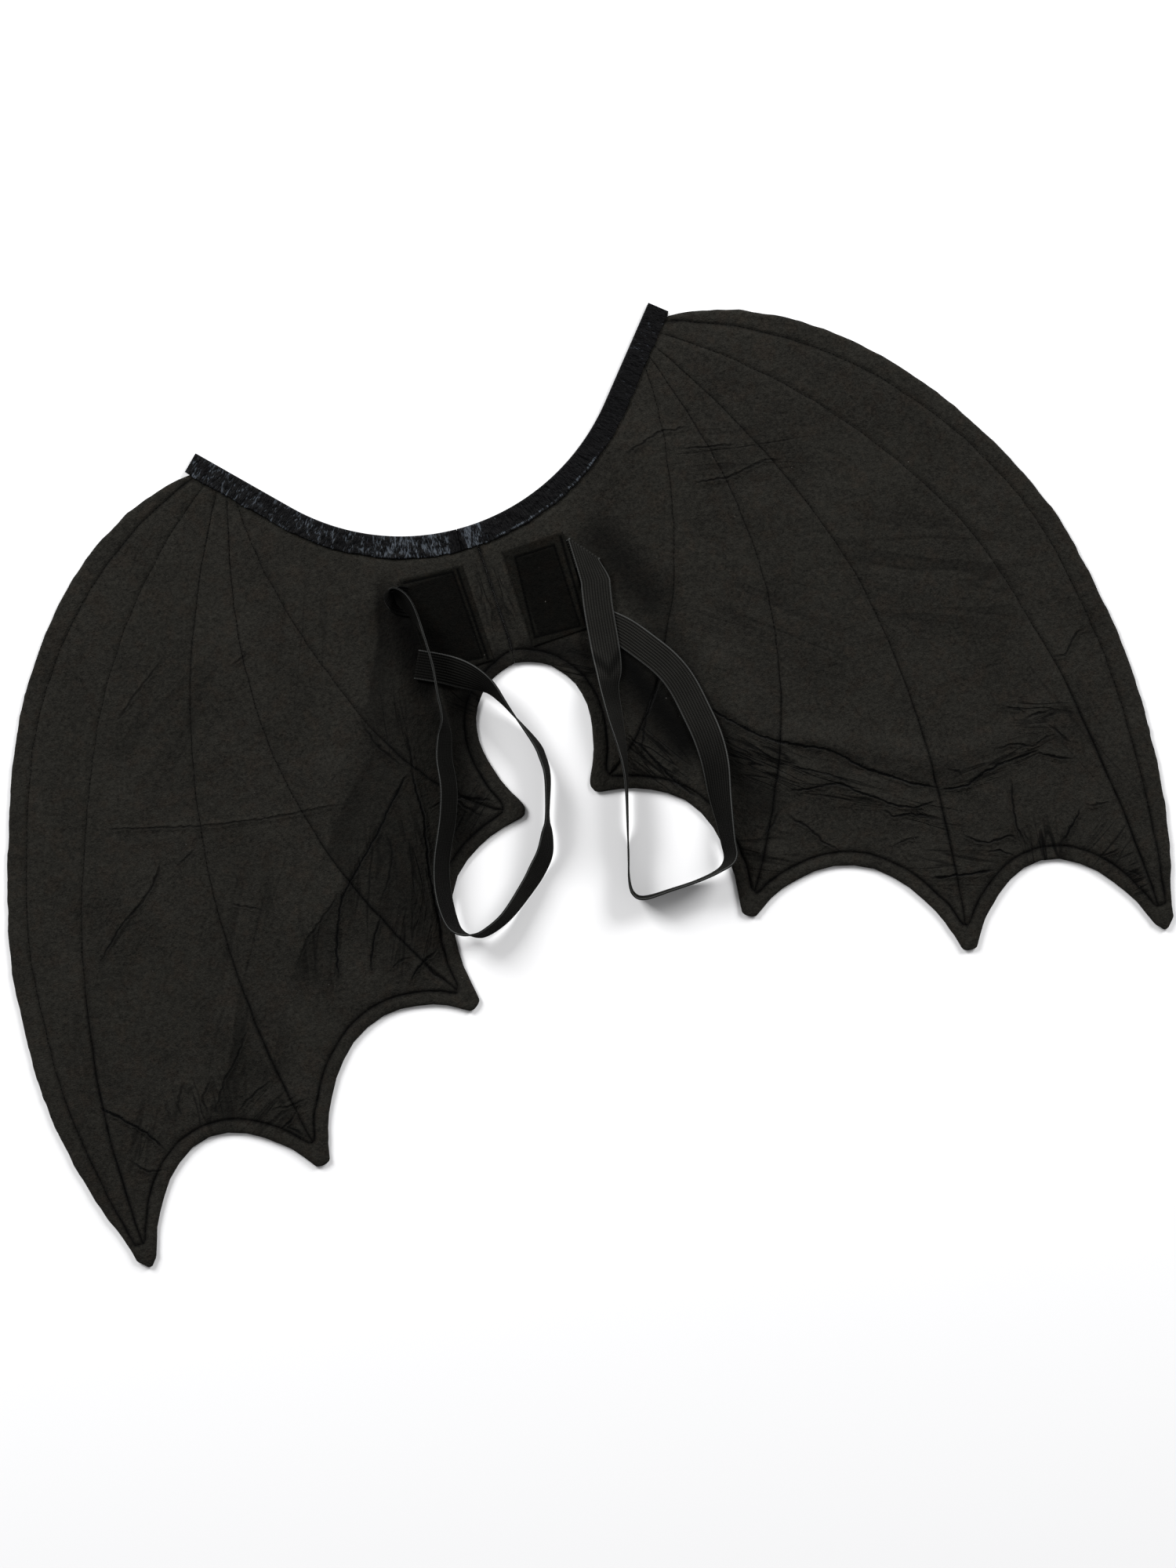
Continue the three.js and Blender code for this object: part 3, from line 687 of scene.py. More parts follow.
class Recipe:
    """Builds one material's nodes."""

    def __init__(self, name: str) -> None:
        """Starts a material with its shader."""
        self.material = bpy.data.materials.new(name)
        self.material.use_nodes = True
        self.tree = self.material.node_tree
        self.tree.nodes.clear()
        self.shader = self.tree.nodes.new("ShaderNodeBsdfPrincipled")
        output = self.tree.nodes.new("ShaderNodeOutputMaterial")
        self.tree.links.new(self.shader.outputs["BSDF"], output.inputs["Surface"])
        self.place = self.node("ShaderNodeTexCoord", {}, {}, "Object")

    def node(self, kind: str, settings: dict, inputs: dict, output: Any = 0) -> bpy.types.NodeSocket:
        """Adds a node.

        Args:
            kind: the node's type.
            settings: its properties, set first.
            inputs: values or links of its sockets.
            output: name or number of the output wanted.

        Returns:
            That output.
        """
        made = self.tree.nodes.new(kind)
        for key, value in settings.items():
            setattr(made, key, value)
        for key, value in inputs.items():
            self.set(made.inputs[key], value)
        return made.outputs[output]

    def set(self, socket: bpy.types.NodeSocket, value: Any) -> None:
        """Links a socket, or gives it a value."""
        value = value.socket if isinstance(value, Sum) else value
        if isinstance(value, bpy.types.NodeSocket):
            self.tree.links.new(value, socket)
        else:
            socket.default_value = value

    def noise(self, size: float, detail: float = 2.0, where: Any = None, stretch: float = 0.0) -> Sum:
        """Noise from 0 to 1 with features of a size in metres."""
        inputs = {"Vector": where or self.place, "Scale": 1.0 / size}
        inputs |= {"Detail": detail, "Distortion": stretch}
        return Sum(self, self.node("ShaderNodeTexNoise", {}, inputs, "Fac"))

    def attribute(self, name: str) -> Sum:
        """A number kept on the mesh."""
        return Sum(self, self.node("ShaderNodeAttribute", {"attribute_name": name}, {}, "Fac"))

    def attributes(self, name: str) -> tuple["Sum", "Sum", "Sum"]:
        """Three numbers kept on the mesh as one vector."""
        found = self.node("ShaderNodeAttribute", {"attribute_name": name}, {}, "Vector")
        return self.parts(found)

    def parts(self, vector: bpy.types.NodeSocket) -> tuple["Sum", "Sum", "Sum"]:
        """X, Y and Z of a vector."""
        made = self.tree.nodes.new("ShaderNodeSeparateXYZ")
        self.set(made.inputs[0], vector)
        return tuple(Sum(self, output) for output in made.outputs)

    def scaled(self, colour: Any, share: "Sum") -> bpy.types.NodeSocket:
        """Colour made lighter or darker."""
        colour = colour if isinstance(colour, bpy.types.NodeSocket) else colour[:3]
        return self.node("ShaderNodeVectorMath", {"operation": "SCALE"}, {0: colour, "Scale": share})

    def mix(self, share: Any, first: Any, second: Any) -> bpy.types.NodeSocket:
        """Colour between two others."""
        inputs = {0: share, 6: first, 7: second}
        return self.node("ShaderNodeMix", {"data_type": "RGBA", "clamp_factor": True}, inputs, 2)

    def bump(self, height: Any, distance: float, normal: Any = None) -> bpy.types.NodeSocket:
        """Normal turned by a height of that distance in metres."""
        inputs = {"Height": height, "Distance": distance, "Strength": 1.0}
        if normal is not None:
            inputs["Normal"] = normal
        return self.node("ShaderNodeBump", {}, inputs)

    def done(self, **inputs: Any) -> bpy.types.Material:
        """Sets the shader's sockets, with _ for a space in their names, and returns the material."""
        for key, value in inputs.items():
            self.set(self.shader.inputs[key.replace("_", " ")], value)
        return self.material


def rgb(red: float, green: float, blue: float) -> tuple[float, float, float, float]:
    """Linear colour from display values of 0 to 255."""
    linear = lambda c: c / 12.92 if c <= 0.04045 else ((c + 0.055) / 1.055) ** 2.4
    return (linear(red / 255), linear(green / 255), linear(blue / 255), 1.0)


@dataclass(frozen=True)
class SuedeCloth:
    """Matt brushed cloth with a soft nap, mottled, and creased where its mesh says so, with painted shade
    where its shade attribute says and in the valleys of its creases and wrinkles.
    """

    name: str
    colour: tuple[float, float, float, float]
    warm: tuple[float, float, float, float]
    # Colour that the painted shade darkens the cloth towards.
    dark: tuple[float, float, float, float]
    crease_layers: int = 0
    wrinkle_layers: int = 0
    nap: float = 0.0007
    gloss: float = 0.02
    grain: float = 0.0009  # sizes of the mottling in metres, from fine to broad
    speck: float = 0.0024
    lump: float = 0.0075
    tint: float = 0.008
    cloud: float = 0.04
    wander: float = 3.4  # millimetres by which a crease wanders
    valley: float = 1.3
    bank: float = 4.2
    lint: tuple[float, float, float, float] = rgb(105, 103, 100)

    def creases(self, recipe: Recipe) -> list[tuple[Sum, Sum]]:
        """Height in millimetres and painted shade of each layer of creases, darkest in the valley.

        Args:
            recipe: the material being built.

        Returns:
            The two of each layer.
        """
        wander = (recipe.noise(0.005, 3.0) - 0.5) * self.wander
        made = []
        for layer in range(self.crease_layers):
            off, strength, _ = recipe.attributes(f"crease_{layer}")
            off = abs(off + wander)
            valley = (1 - off.stepped(0.1, self.valley)) * strength
            bank = (1 - off.stepped(0.0, self.bank)) * strength
            made.append((bank * 1.5 - valley * 1.3, valley * 0.85 + bank * 0.1))
        return made

    def wrinkles(self, recipe: Recipe) -> list[tuple[Sum, Sum]]:
        """Height in millimetres and painted shade of each layer of fine wrinkles, darkest in their valleys.

        Args:
            recipe: the material being built.

        Returns:
            The two of each layer.
        """
        made = []
        for layer in range(self.wrinkle_layers):
            along, across, strength = recipe.attributes(f"wrinkle_{layer}")
            where = recipe.node("ShaderNodeCombineXYZ", {}, {"X": along, "Y": across, "Z": 3.7 * layer})
            wave = recipe.noise(1.0, 2.0, where, 0.5)
            valley = (1 - abs(wave - 0.5).stepped(0.0, 0.05)) * strength
            hollow = (1 - wave.stepped(0.25, 0.45)) * strength
            made.append((wave * strength * 3.0 - valley * 0.7, valley * 0.75 + hollow * 0.22))
        return made

    def material(self) -> bpy.types.Material:
        """Builds the material."""
        recipe = Recipe(self.name)
        grain = recipe.noise(self.grain, 3.0)
        speck = recipe.noise(self.speck, 3.0)
        cloud = recipe.noise(self.cloud, 4.0)
        tint = recipe.noise(self.tint, 4.0)
        base = recipe.mix(tint.stepped(0.48, 0.66) * 0.55, self.colour, self.warm)
        lump = recipe.noise(self.lump, 3.0)
        base = recipe.scaled(base, grain * 1.7 + speck * 1.5 + cloud * 0.8 - 1.0)
        # Painted shade: the mesh's shade attribute and the crease and wrinkle valleys darken the colour
        # towards the dark one.
        shade = recipe.attribute("shade")
        height = None
        for rise, darkness in self.creases(recipe) + self.wrinkles(recipe):
            height = rise if height is None else height + rise
            shade = shade + darkness * (1 - shade)
        base = recipe.mix(shade, base, self.dark)
        lint = recipe.noise(0.0021, 1.0).stepped(0.8, 0.86)
        base = recipe.mix(lint * 0.45, base, self.lint)
        bump = recipe.bump(grain + speck + lump * 2.2, self.nap)
        if height is not None:
            bump = recipe.bump(height, MM, bump)
        return recipe.done(
            Base_Color=base, Roughness=0.95, Specular_IOR_Level=self.gloss, Sheen_Weight=self.gloss,
            Sheen_Roughness=0.6, Normal=bump,
        )


@dataclass(frozen=True)
class RibbedElastic:
    """Knitted elastic, with U across the band and V along it in metres; its colour carries painted shade
    between the ribs and where its shade attribute says, and a painted highlight on its edges.
    """

    name: str
    colour: tuple[float, float, float, float]
    # Lighter colour of the band's edges: a painted highlight where they catch the light.
    edge: tuple[float, float, float, float]
    width: float = 0.020
    ribs: int = 11
    yarn: float = 0.0011
    fuzz: float = 0.0008
    wear: float = 0.014
    relief: float = 0.0006

    def material(self) -> bpy.types.Material:
        """Builds the material."""
        recipe = Recipe(self.name)
        across, along, _ = recipe.parts(recipe.node("ShaderNodeUVMap", {"uv_map": "cloth"}, {}, "UV"))
        rib = (across * (math.pi * self.ribs / self.width)).sine()
        crown = abs(rib)
        yarn = (along * (math.tau / self.yarn) + crown * 2.0).sine()
        fuzz = recipe.noise(self.fuzz, 3.0)
        wear = recipe.noise(self.wear, 3.0)
        # The edges are painted lighter as a highlight, and the painted shade is kept off them.
        side = abs(abs(across - self.width) - self.width / 2)
        selvedge_highlight = side.stepped(0.44 * self.width, 0.478 * self.width)
        base = recipe.mix(selvedge_highlight * 0.8, self.colour, self.edge)
        shade = recipe.attribute("shade")
        shade = shade * (1 - selvedge_highlight * (1 - shade) * 2.4)
        worn = 0.26 + fuzz * 0.86 + wear * 0.48 + yarn * 0.06
        # Painted shade in the furrows between the ribs and along the loop's painted shadows.
        lightness = (0.2 + crown.stepped(0.05, 0.65) * 0.62) * worn * (1 - shade)
        height = crown * 0.5 + yarn * 0.12 + fuzz * 0.3
        return recipe.done(
            Base_Color=recipe.scaled(base, lightness), Roughness=0.8, Specular_IOR_Level=0.04,
            Normal=recipe.bump(height, self.relief),
        )


@dataclass(frozen=True)
class CrushedRibbon:
    """Shiny ribbon with a crushed pile, its glints painted into its colour as bright flecks."""

    name: str
    dark: tuple[float, float, float, float]
    painted_glint: tuple[float, float, float, float]
    crush: float = 0.0030
    fleck: float = 0.0009
    relief: float = 0.0016

    def material(self) -> bpy.types.Material:
        """Builds the material."""
        recipe = Recipe(self.name)
        painted_gleam = recipe.attribute("painted_gleam")
        where = recipe.node("ShaderNodeUVMap", {"uv_map": "cloth"}, {}, "UV")
        crush = recipe.noise(self.crush, 4.0, where, 0.8)
        fleck = recipe.noise(self.fleck, 3.0, where, 0.5)
        # Painted glints: where crush, flecks and the painted gleam run high, the colour turns to the glint
        # colour.
        lit = (crush * 0.6 + fleck * 0.55 + painted_gleam * 0.22 - 0.075).stepped(0.56, 0.7)
        base = recipe.mix(lit, self.dark, self.painted_glint)
        return recipe.done(
            Base_Color=base, Roughness=0.5 - lit * 0.15, Specular_IOR_Level=0.06,
            Normal=recipe.bump(crush + fleck * 0.5, self.relief),
        )


@dataclass(frozen=True)
class SewingThread:
    """Dark twisted thread."""

    name: str
    colour: tuple[float, float, float, float]

    def material(self) -> bpy.types.Material:
        """Builds the material."""
        recipe = Recipe(self.name)
        twist = recipe.noise(0.0006, 2.0)
        base = recipe.mix(twist, self.colour, tuple(0.5 * c for c in self.colour[:3]) + (1.0,))
        bump = recipe.bump(twist, 0.0001)
        return recipe.done(Base_Color=base, Roughness=0.9, Specular_IOR_Level=0.05, Normal=bump)


@dataclass(frozen=True)
class Stitching:
    """Rows of short threads laid along paths by a node tree."""

    pitch: float = 3.0
    length: float = 1.7
    breadth: float = 0.55

    def tree(self) -> tuple[bpy.types.NodeTree, dict[str, str]]:
        """Builds the node tree.

        Returns:
            The tree, and the identifier of each of its named inputs.
        """
        tree = bpy.data.node_groups.new("stitch_row", "GeometryNodeTree")
        tree.interface.new_socket("Geometry", in_out="INPUT", socket_type="NodeSocketGeometry")
        named = {}
        kinds = {"Pitch": "Float", "Length": "Float", "Breadth": "Float", "Thread": "Material"}
        for name, kind in kinds.items():
            socket = tree.interface.new_socket(name, in_out="INPUT", socket_type="NodeSocket" + kind)
            named[name] = socket.identifier
        tree.interface.new_socket("Geometry", in_out="OUTPUT", socket_type="NodeSocketGeometry")

        def node(kind: str, inputs: dict, **settings: Any) -> bpy.types.Node:
            """Adds a node with its settings, then its links and values."""
            made = tree.nodes.new(kind)
            for key, value in settings.items():
                setattr(made, key, value)
            for key, value in inputs.items():
                if isinstance(value, bpy.types.NodeSocket):
                    tree.links.new(value, made.inputs[key])
                else:
                    made.inputs[key].default_value = value
            return made

        given = node("NodeGroupInput", {}).outputs
        route = node("GeometryNodeMeshToCurve", {"Mesh": given["Geometry"]}).outputs[0]
        spaced = {"Curve": route, "Length": given["Pitch"]}
        row = node("GeometryNodeResampleCurve", spaced, mode="LENGTH").outputs[0]
        thread = node("GeometryNodeMeshUVSphere", {"Segments": 6, "Rings": 4, "Radius": 0.5}).outputs[0]
        size = node(
            "ShaderNodeCombineXYZ", {"X": given["Length"], "Y": given["Breadth"], "Z": given["Breadth"]}
        ).outputs[0]
        thread = node("GeometryNodeTransform", {"Geometry": thread, "Scale": size}).outputs[0]
        tangent = node("GeometryNodeInputTangent", {}).outputs[0]
        turned = node("FunctionNodeAlignRotationToVector", {"Vector": tangent}, axis="X").outputs[0]
        random = node(
            "FunctionNodeRandomValue", {"Min": (0.85, 0.85, 0.85), "Max": (1.1, 1.15, 1.1), "Seed": 7},
            data_type="FLOAT_VECTOR",
        ).outputs[0]
        laid = node(
            "GeometryNodeInstanceOnPoints",
            {"Points": row, "Instance": thread, "Rotation": turned, "Scale": random},
        ).outputs[0]
        real = node("GeometryNodeRealizeInstances", {"Geometry": laid}).outputs[0]
        finish = {"Geometry": real, "Material": given["Thread"]}
        dressed = node("GeometryNodeSetMaterial", finish).outputs[0]
        node("NodeGroupOutput", {"Geometry": dressed})
        return tree, named

    def sew(self, name: str, routes: Sequence[np.ndarray], thread: bpy.types.Material) -> bpy.types.Object:
        """Sews rows of stitches.

        Args:
            name: name of the piece.
            routes: points of each row in the row frame, in metres.
            thread: material of the thread.

        Returns:
            One mesh object for all the rows.
        """
        tree, named = self.tree()
        ends = np.cumsum([0] + [len(route) for route in routes])
        edges = [(i, i + 1) for a, b in zip(ends, ends[1:]) for i in range(a, b - 1)]
        mesh = bpy.data.meshes.new(name)
        mesh.from_pydata(np.concatenate(routes).tolist(), edges, [])
        made = bpy.data.objects.new(name, mesh)
        bpy.context.scene.collection.objects.link(made)
        modifier = made.modifiers.new("stitches", "NODES")
        modifier.node_group = tree
        for key, value in (("Pitch", self.pitch), ("Length", self.length), ("Breadth", self.breadth)):
            modifier[named[key]] = value * MM
        modifier[named["Thread"]] = thread
        sewn = bpy.data.meshes.new_from_object(made.evaluated_get(bpy.context.evaluated_depsgraph_get()))
        made.modifiers.clear()
        made.data = sewn
        sewn.shade_smooth()
        return made


@dataclass(frozen=True)
class Crease:
    """A crease in one wing: its route in millimetres with X outwards, how deep and how wide it is."""

    side: Side
    route: tuple[tuple[float, float], ...]
    depth: float
    width: float = 1.6


@dataclass(frozen=True)
class Wrinkles:
    """A field of near-parallel wrinkles: its middle, half sizes along and across, heading and spacing."""

    side: Side
    middle: tuple[float, float]
    half: tuple[float, float]
    heading: float
    spacing: float
    depth: float

    def reach(self) -> np.ndarray:
        """Half the width and height of the box round the field.

        Returns:
            The two in millimetres.
        """
        ahead, across = np.abs(headed(self.heading)), np.abs(headed(self.heading + 90))
        return ahead * self.half[0] + across * self.half[1]


def box_of(feature: Crease | Wrinkles) -> tuple[np.ndarray, np.ndarray]:
    """Corners of the box that a crease or a field of wrinkles touches."""
    if isinstance(feature, Crease):
        return np.min(feature.route, axis=0) - CREASE_REACH, np.max(feature.route, axis=0) + CREASE_REACH
    return np.array(feature.middle) - feature.reach(), np.array(feature.middle) + feature.reach()


def layered(features: Sequence[Any], side: Side) -> list[list[Any]]:
    """Sorts one wing's features into layers, in each of which no two come near each other.

    Args:
        features: creases or wrinkles of both wings.
        side: which wing.

    Returns:
        The features of each layer.
    """
    layers: list[list[Any]] = []
    for feature in of_side(features, side):
        low, high = box_of(feature)
        for layer in layers:
            boxes = [box_of(other) for other in layer]
            if all(np.any(high < other_low) or np.any(low > other_high) for other_low, other_high in boxes):
                layer.append(feature)
                break
        else:
            layers.append([feature])
    return layers


@dataclass(frozen=True)
class Shadow:
    """A soft painted shadow on the cloth, where a strap casts shade or a fold turns away from the light."""

    side: Side
    start: tuple[float, float]
    end: tuple[float, float]
    spread: float
    darkness: float
    crisp: float = 0.0

    def share(self, places: np.ndarray) -> np.ndarray:
        """Share of painted shadow at each place; it ends sooner on the outer side where it is crisp.

        Args:
            places: places in millimetres.

        Returns:
            A share for each place.
        """
        line = Line(np.array([self.start, self.end], float))
        distance, _ = line.distance(places)
        ahead, off = np.subtract(self.end, self.start), places - np.array(self.start)
        outer = ahead[0] * off[:, 1] - ahead[1] * off[:, 0] > 0
        spread = np.where(outer, self.crisp, self.spread) if self.crisp else self.spread
        return self.darkness * smooth(1 - distance / spread)


L, R = Side.LEFT, Side.RIGHT


def listed(kind: type, side: Side, *rows: tuple) -> tuple:
    """Features of one side, each from a row of its other fields."""
    return tuple(kind(side, *row) for row in rows)


def of_side(features: Sequence[Any], side: Side) -> list[Any]:
    """Those features that are on one side."""
    return [feature for feature in features if feature.side is side]


# Soft rises of the cloth, read off the photograph.
RISES = listed(
    Rise, R,
    ((0.33, 0.36), (0.36, 0.5), 4.0, 22.0),
    ((0.42, 0.5), (0.63, 0.62), 3.5, 15.0),
    ((0.66, 0.62), (0.8, 0.61), 3.0, 14.0),
    ((0.7, 0.7), (0.72, 0.75), 2.5, 14.0),
) + listed(
    Rise, L,
    ((0.35, 0.33), (0.37, 0.42), 3.5, 24.0),
    ((0.37, 0.42), (0.43, 0.55), 3.5, 24.0),
    ((0.66, 0.66), (0.62, 0.74), 2.5, 16.0),
)

# Creases of the two wings, read off the photograph.
CREASES = listed(
    Crease, R,
    (((115, -167), (140, -195), (155, -205), (180, -218), (200, -238), (225, -256),
     (243, -266)), 2.8, 2.2),
    (((243, -267), (261, -270), (277, -265), (292, -263), (306, -263), (316, -262)), 2.8, 2.0),
    (((312, -263), (327, -272), (338, -276)), 1.4),
    (((147, -236), (162, -239), (180, -241), (187, -249), (199, -258), (210, -267),
     (222, -273), (239, -273)), 1.5),
    (((151, -220), (166, -228), (181, -238), (188, -246)), 1.0),
    (((201, -266), (207, -274), (221, -277), (235, -284)), 1.3),
    (((139, -250), (150, -261), (157, -275), (166, -285)), 1.0),
    (((217, -321), (235, -325), (262, -330)), 2.4, 1.8),
    (((247, -299), (256, -307), (264, -311), (279, -311), (284, -316)), 1.3),
    (((258, -316), (269, -318), (278, -326)), 1.4),
    (((292, -273), (290, -283), (287, -294), (285, -306), (287, -321)), 1.2),
    (((288, -307), (290, -322)), 1.0),
    (((301, -313), (298, -324)), 1.0),
    (((332, -307), (325, -314), (315, -323), (309, -328)), 1.9),
    (((352, -311), (338, -309), (332, -306)), 0.8),
    (((349, -341), (341, -343), (330, -343)), 1.3),
    (((344, -356), (352, -362), (356, -365)), 1.4),
    (((251, -255), (259, -259), (261, -266)), 0.8),
    (((309, -240), (321, -239), (333, -240)), 1.1),
    (((324, -246), (332, -256), (338, -266)), 0.9),
    (((286, -253), (300, -253), (313, -259), (321, -256), (330, -256)), 1.0),
    (((341, -205), (350, -208), (362, -196), (372, -194)), 0.8),
    (((300, -228), (310, -232), (316, -240)), 0.7),
    (((200, -294), (210, -291), (222, -294)), 0.8),
    (((57, -165), (68, -185), (75, -200), (82, -212), (90, -222)), 1.6),
    (((60, -185), (72, -160), (92, -135)), 1.2),
    (((118, -262), (128, -255), (138, -246)), 0.9),
    (((150, -20), (175, -24), (200, -20), (212, -24)), 0.6, 2.2),
    (((150, 4), (176, -2), (186, -4)), 0.5, 2.0),
    (((110, 12), (140, 20), (160, 16)), 0.4, 2.0),
) + listed(
    Crease, L,
    (((90, -144), (108, -160), (122, -175), (136, -187), (150, -199), (160, -209),
     (169, -226), (176, -243), (180, -261)), 2.2, 1.8),
    (((87, -140), (89, -160), (89, -174), (94, -195), (98, -215), (102, -248)), 1.5),
    (((161, -206), (192, -229), (203, -242)), 0.5, 2.2),
    (((117, -175), (117, -191), (125, -207), (136, -220)), 0.7),
    (((137, -228), (147, -239), (154, -253), (158, -264)), 1.6),
    (((135, -280), (129, -272), (120, -267), (108, -262)), 1.6),
    (((122, -266), (117, -276), (111, -285)), 1.2),
    (((146, -267), (137, -261), (127, -262)), 0.8),
    (((246, -272), (261, -290), (272, -300), (284, -318)), 0.8, 2.0),
    (((242, -310), (261, -317), (272, -325)), 0.7),
    (((248, -344), (238, -339), (233, -335)), 1.8),
    (((249, -329), (236, -331), (224, -329)), 0.9),
    (((245, -342), (238, -348), (232, -354)), 1.4),
    (((358, -290), (341, -307), (331, -319), (324, -333)), 1.9, 1.8),
    (((350, -330), (340, -342), (328, -345)), 0.8),
    (((269, -148), (279, -161), (291, -171), (307, -180), (327, -198)), 0.9, 2.2),
    (((243, -146), (263, -156)), 0.4, 2.4),
    (((300, -116), (236, -134), (192, -143), (139, -150)), 0.1, 2.0),
    (((235, -188), (212, -201)), 0.3, 2.0),
    (((307, -316), (306, -305), (299, -293)), 0.6),
    (((289, -322), (290, -307), (279, -295)), 0.6),
    (((314, -316), (314, -300)), 0.5),
    (((270, -50), (250, -36), (225, -20)), 0.2, 2.4),
    (((110, -100), (104, -120), (92, -140)), 0.8),
    (((83, -116), (84, -132), (87, -146)), 0.8),
    (((60, -178), (72, -190), (88, -198)), 1.3),
    (((40, -180), (58, -172), (70, -168), (85, -172)), 1.2),
    (((52, -188), (62, -176), (72, -160)), 1.0),
    (((185, -40), (170, -34), (176, -28)), 0.2, 2.0),
)

# Fields of fine wrinkles beside and between the creases.
WRINKLES = listed(
    Wrinkles, R,
    ((138, -213), (44, 22), -42.0, 3.4, 0.95),
    ((180, -246), (48, 15), -30.0, 5.0, 0.7),
    ((232, -282), (40, 16), -28.0, 5.0, 0.6),
    ((290, -262), (60, 12), 4.0, 4.6, 0.7),
    ((322, -238), (36, 20), -18.0, 6.0, 0.6),
    ((300, -328), (30, 22), 82.0, 5.5, 0.8),
    ((342, -338), (26, 22), 35.0, 6.0, 0.6),
    ((351, -362), (9, 30), 5.0, 5.0, 0.7),
    ((72, -186), (34, 26), -58.0, 6.0, 0.8),
    ((238, -318), (44, 22), -22.0, 7.5, 0.55),
    ((120, -268), (34, 24), -24.0, 9.0, 0.5),
    ((190, -10), (70, 26), -14.0, 10.0, 0.35),
    ((280, -130), (100, 60), -24.0, 15.0, 0.3),
    ((170, -130), (80, 50), -40.0, 14.0, 0.26),
    ((345, -260), (80, 26), -72.0, 11.0, 0.3),
    ((6, -52), (36, 7), -88.0, 4.0, 0.6),
    ((40, -112), (26, 16), -28.0, 5.0, 0.6),
) + listed(
    Wrinkles, L,
    ((140, -205), (56, 22), -66.0, 8.0, 0.55),
    ((185, -240), (40, 22), -70.0, 8.0, 0.45),
    ((124, -250), (40, 26), -62.0, 6.0, 0.55),
    ((104, -200), (50, 22), -84.0, 6.0, 0.6),
    ((58, -182), (26, 20), -35.0, 5.0, 0.7),
    ((290, -312), (32, 36), -86.0, 6.0, 0.5),
    ((250, -330), (30, 22), -30.0, 6.0, 0.5),
    ((338, -320), (44, 18), -60.0, 8.0, 0.4),
    ((300, -178), (54, 30), -38.0, 10.0, 0.3),
    ((230, -60), (90, 50), -40.0, 16.0, 0.22),
    ((220, -210), (70, 50), -58.0, 14.0, 0.32),
    ((340, -230), (80, 34), -76.0, 15.0, 0.22),
    ((250, -280), (60, 40), -64.0, 12.0, 0.35),
    ((130, -40), (60, 40), -70.0, 12.0, 0.25),
    ((92, -112), (40, 22), -84.0, 7.0, 0.45),
    ((6, -52), (36, 7), -88.0, 4.0, 0.6),
    ((36, -112), (22, 14), -140.0, 5.0, 0.6),
)

# Painted shadows on the cloth round the straps and folds.
SHADOWS = listed(
    Shadow, R,
    ((68, -112), (93, -182), 29.0, 0.97),
    ((80, -36), (98, -84), 28.0, 0.7),
    ((96, -80), (104, -130), 24.0, 0.45),
    ((108, -170), (128, -240), 24.0, 0.6),
    ((12, -92), (46, -104), 19.0, 0.7),
    ((46, -104), (60, -140), 15.0, 0.45),
) + listed(
    Shadow, L,
    ((75, -26), (83, -56), 24.0, 0.68, 3.0),
    ((83, -56), (98, -82), 30.0, 0.58, 3.5),
    ((98, -82), (100, -101), 30.0, 0.48, 4.0),
    ((62, -42), (60, -90), 28.0, 0.9),
    ((100, -101), (96, -128), 22.0, 0.28),
    ((84, -100), (96, -160), 40.0, 0.36),
    ((113, -127), (132, -145), 34.0, 0.46, 3.0),
    ((132, -145), (152, -166), 34.0, 0.5, 3.0),
    ((152, -166), (155, -190), 30.0, 0.42, 5.0),
    ((104, -150), (128, -230), 50.0, 0.42),
    ((163, -206), (203, -242), 24.0, 0.38, 4.0),
    ((250, -268), (284, -318), 26.0, 0.26, 3.0),
    ((56, -116), (68, -190), 30.0, 0.6),
    ((12, -92), (44, -112), 19.0, 0.7),
    ((44, -112), (46, -150), 14.0, 0.4),
)


@dataclass(frozen=True)
class Cloth:
    """Thicknesses of the padded cloth."""

    thick: float = 4.0
    stitch: float = 1.8
    puff: float = 7.0
    edge_round: float = 3.2
    pinched: float = 2.2


@dataclass(frozen=True)
class BindingSizes:
    """Sizes of the neck binding."""

    width: float = 14.0
    thick: float = 0.8
    overhang: float = 3.0
    join: float = 10.0
    ramp: float = 4.0


@dataclass(frozen=True)
class PatchSizes:
    """Sizes of the patches beside the centre seam."""

    width: float = 43.0
    height: float = 67.0
    thick: float = 1.2
    inset: float = 14.0
    drop: float = 23.0
    turning: float = 3.0

    @property
    def outer(self) -> float:
        """Outer edge of a patch."""
        return self.inset + self.width

    @property
    def cut(self) -> tuple[float, float]:
        """Width and length in metres that a patch was cut to, with its turned edges."""
        return ((self.width + 2 * self.turning) * MM, (self.height + 2 * self.turning) * MM)


@dataclass(frozen=True)
class Surface:
    """The laid-out wing's grid of places and what lies at each."""

    points: np.ndarray
    hem_row: int
    stitched_columns: tuple[int, ...]
    to_stitch: np.ndarray
    to_stitch_share: np.ndarray
    hem_shade: np.ndarray
    to_edge: np.ndarray
    outline: np.ndarray


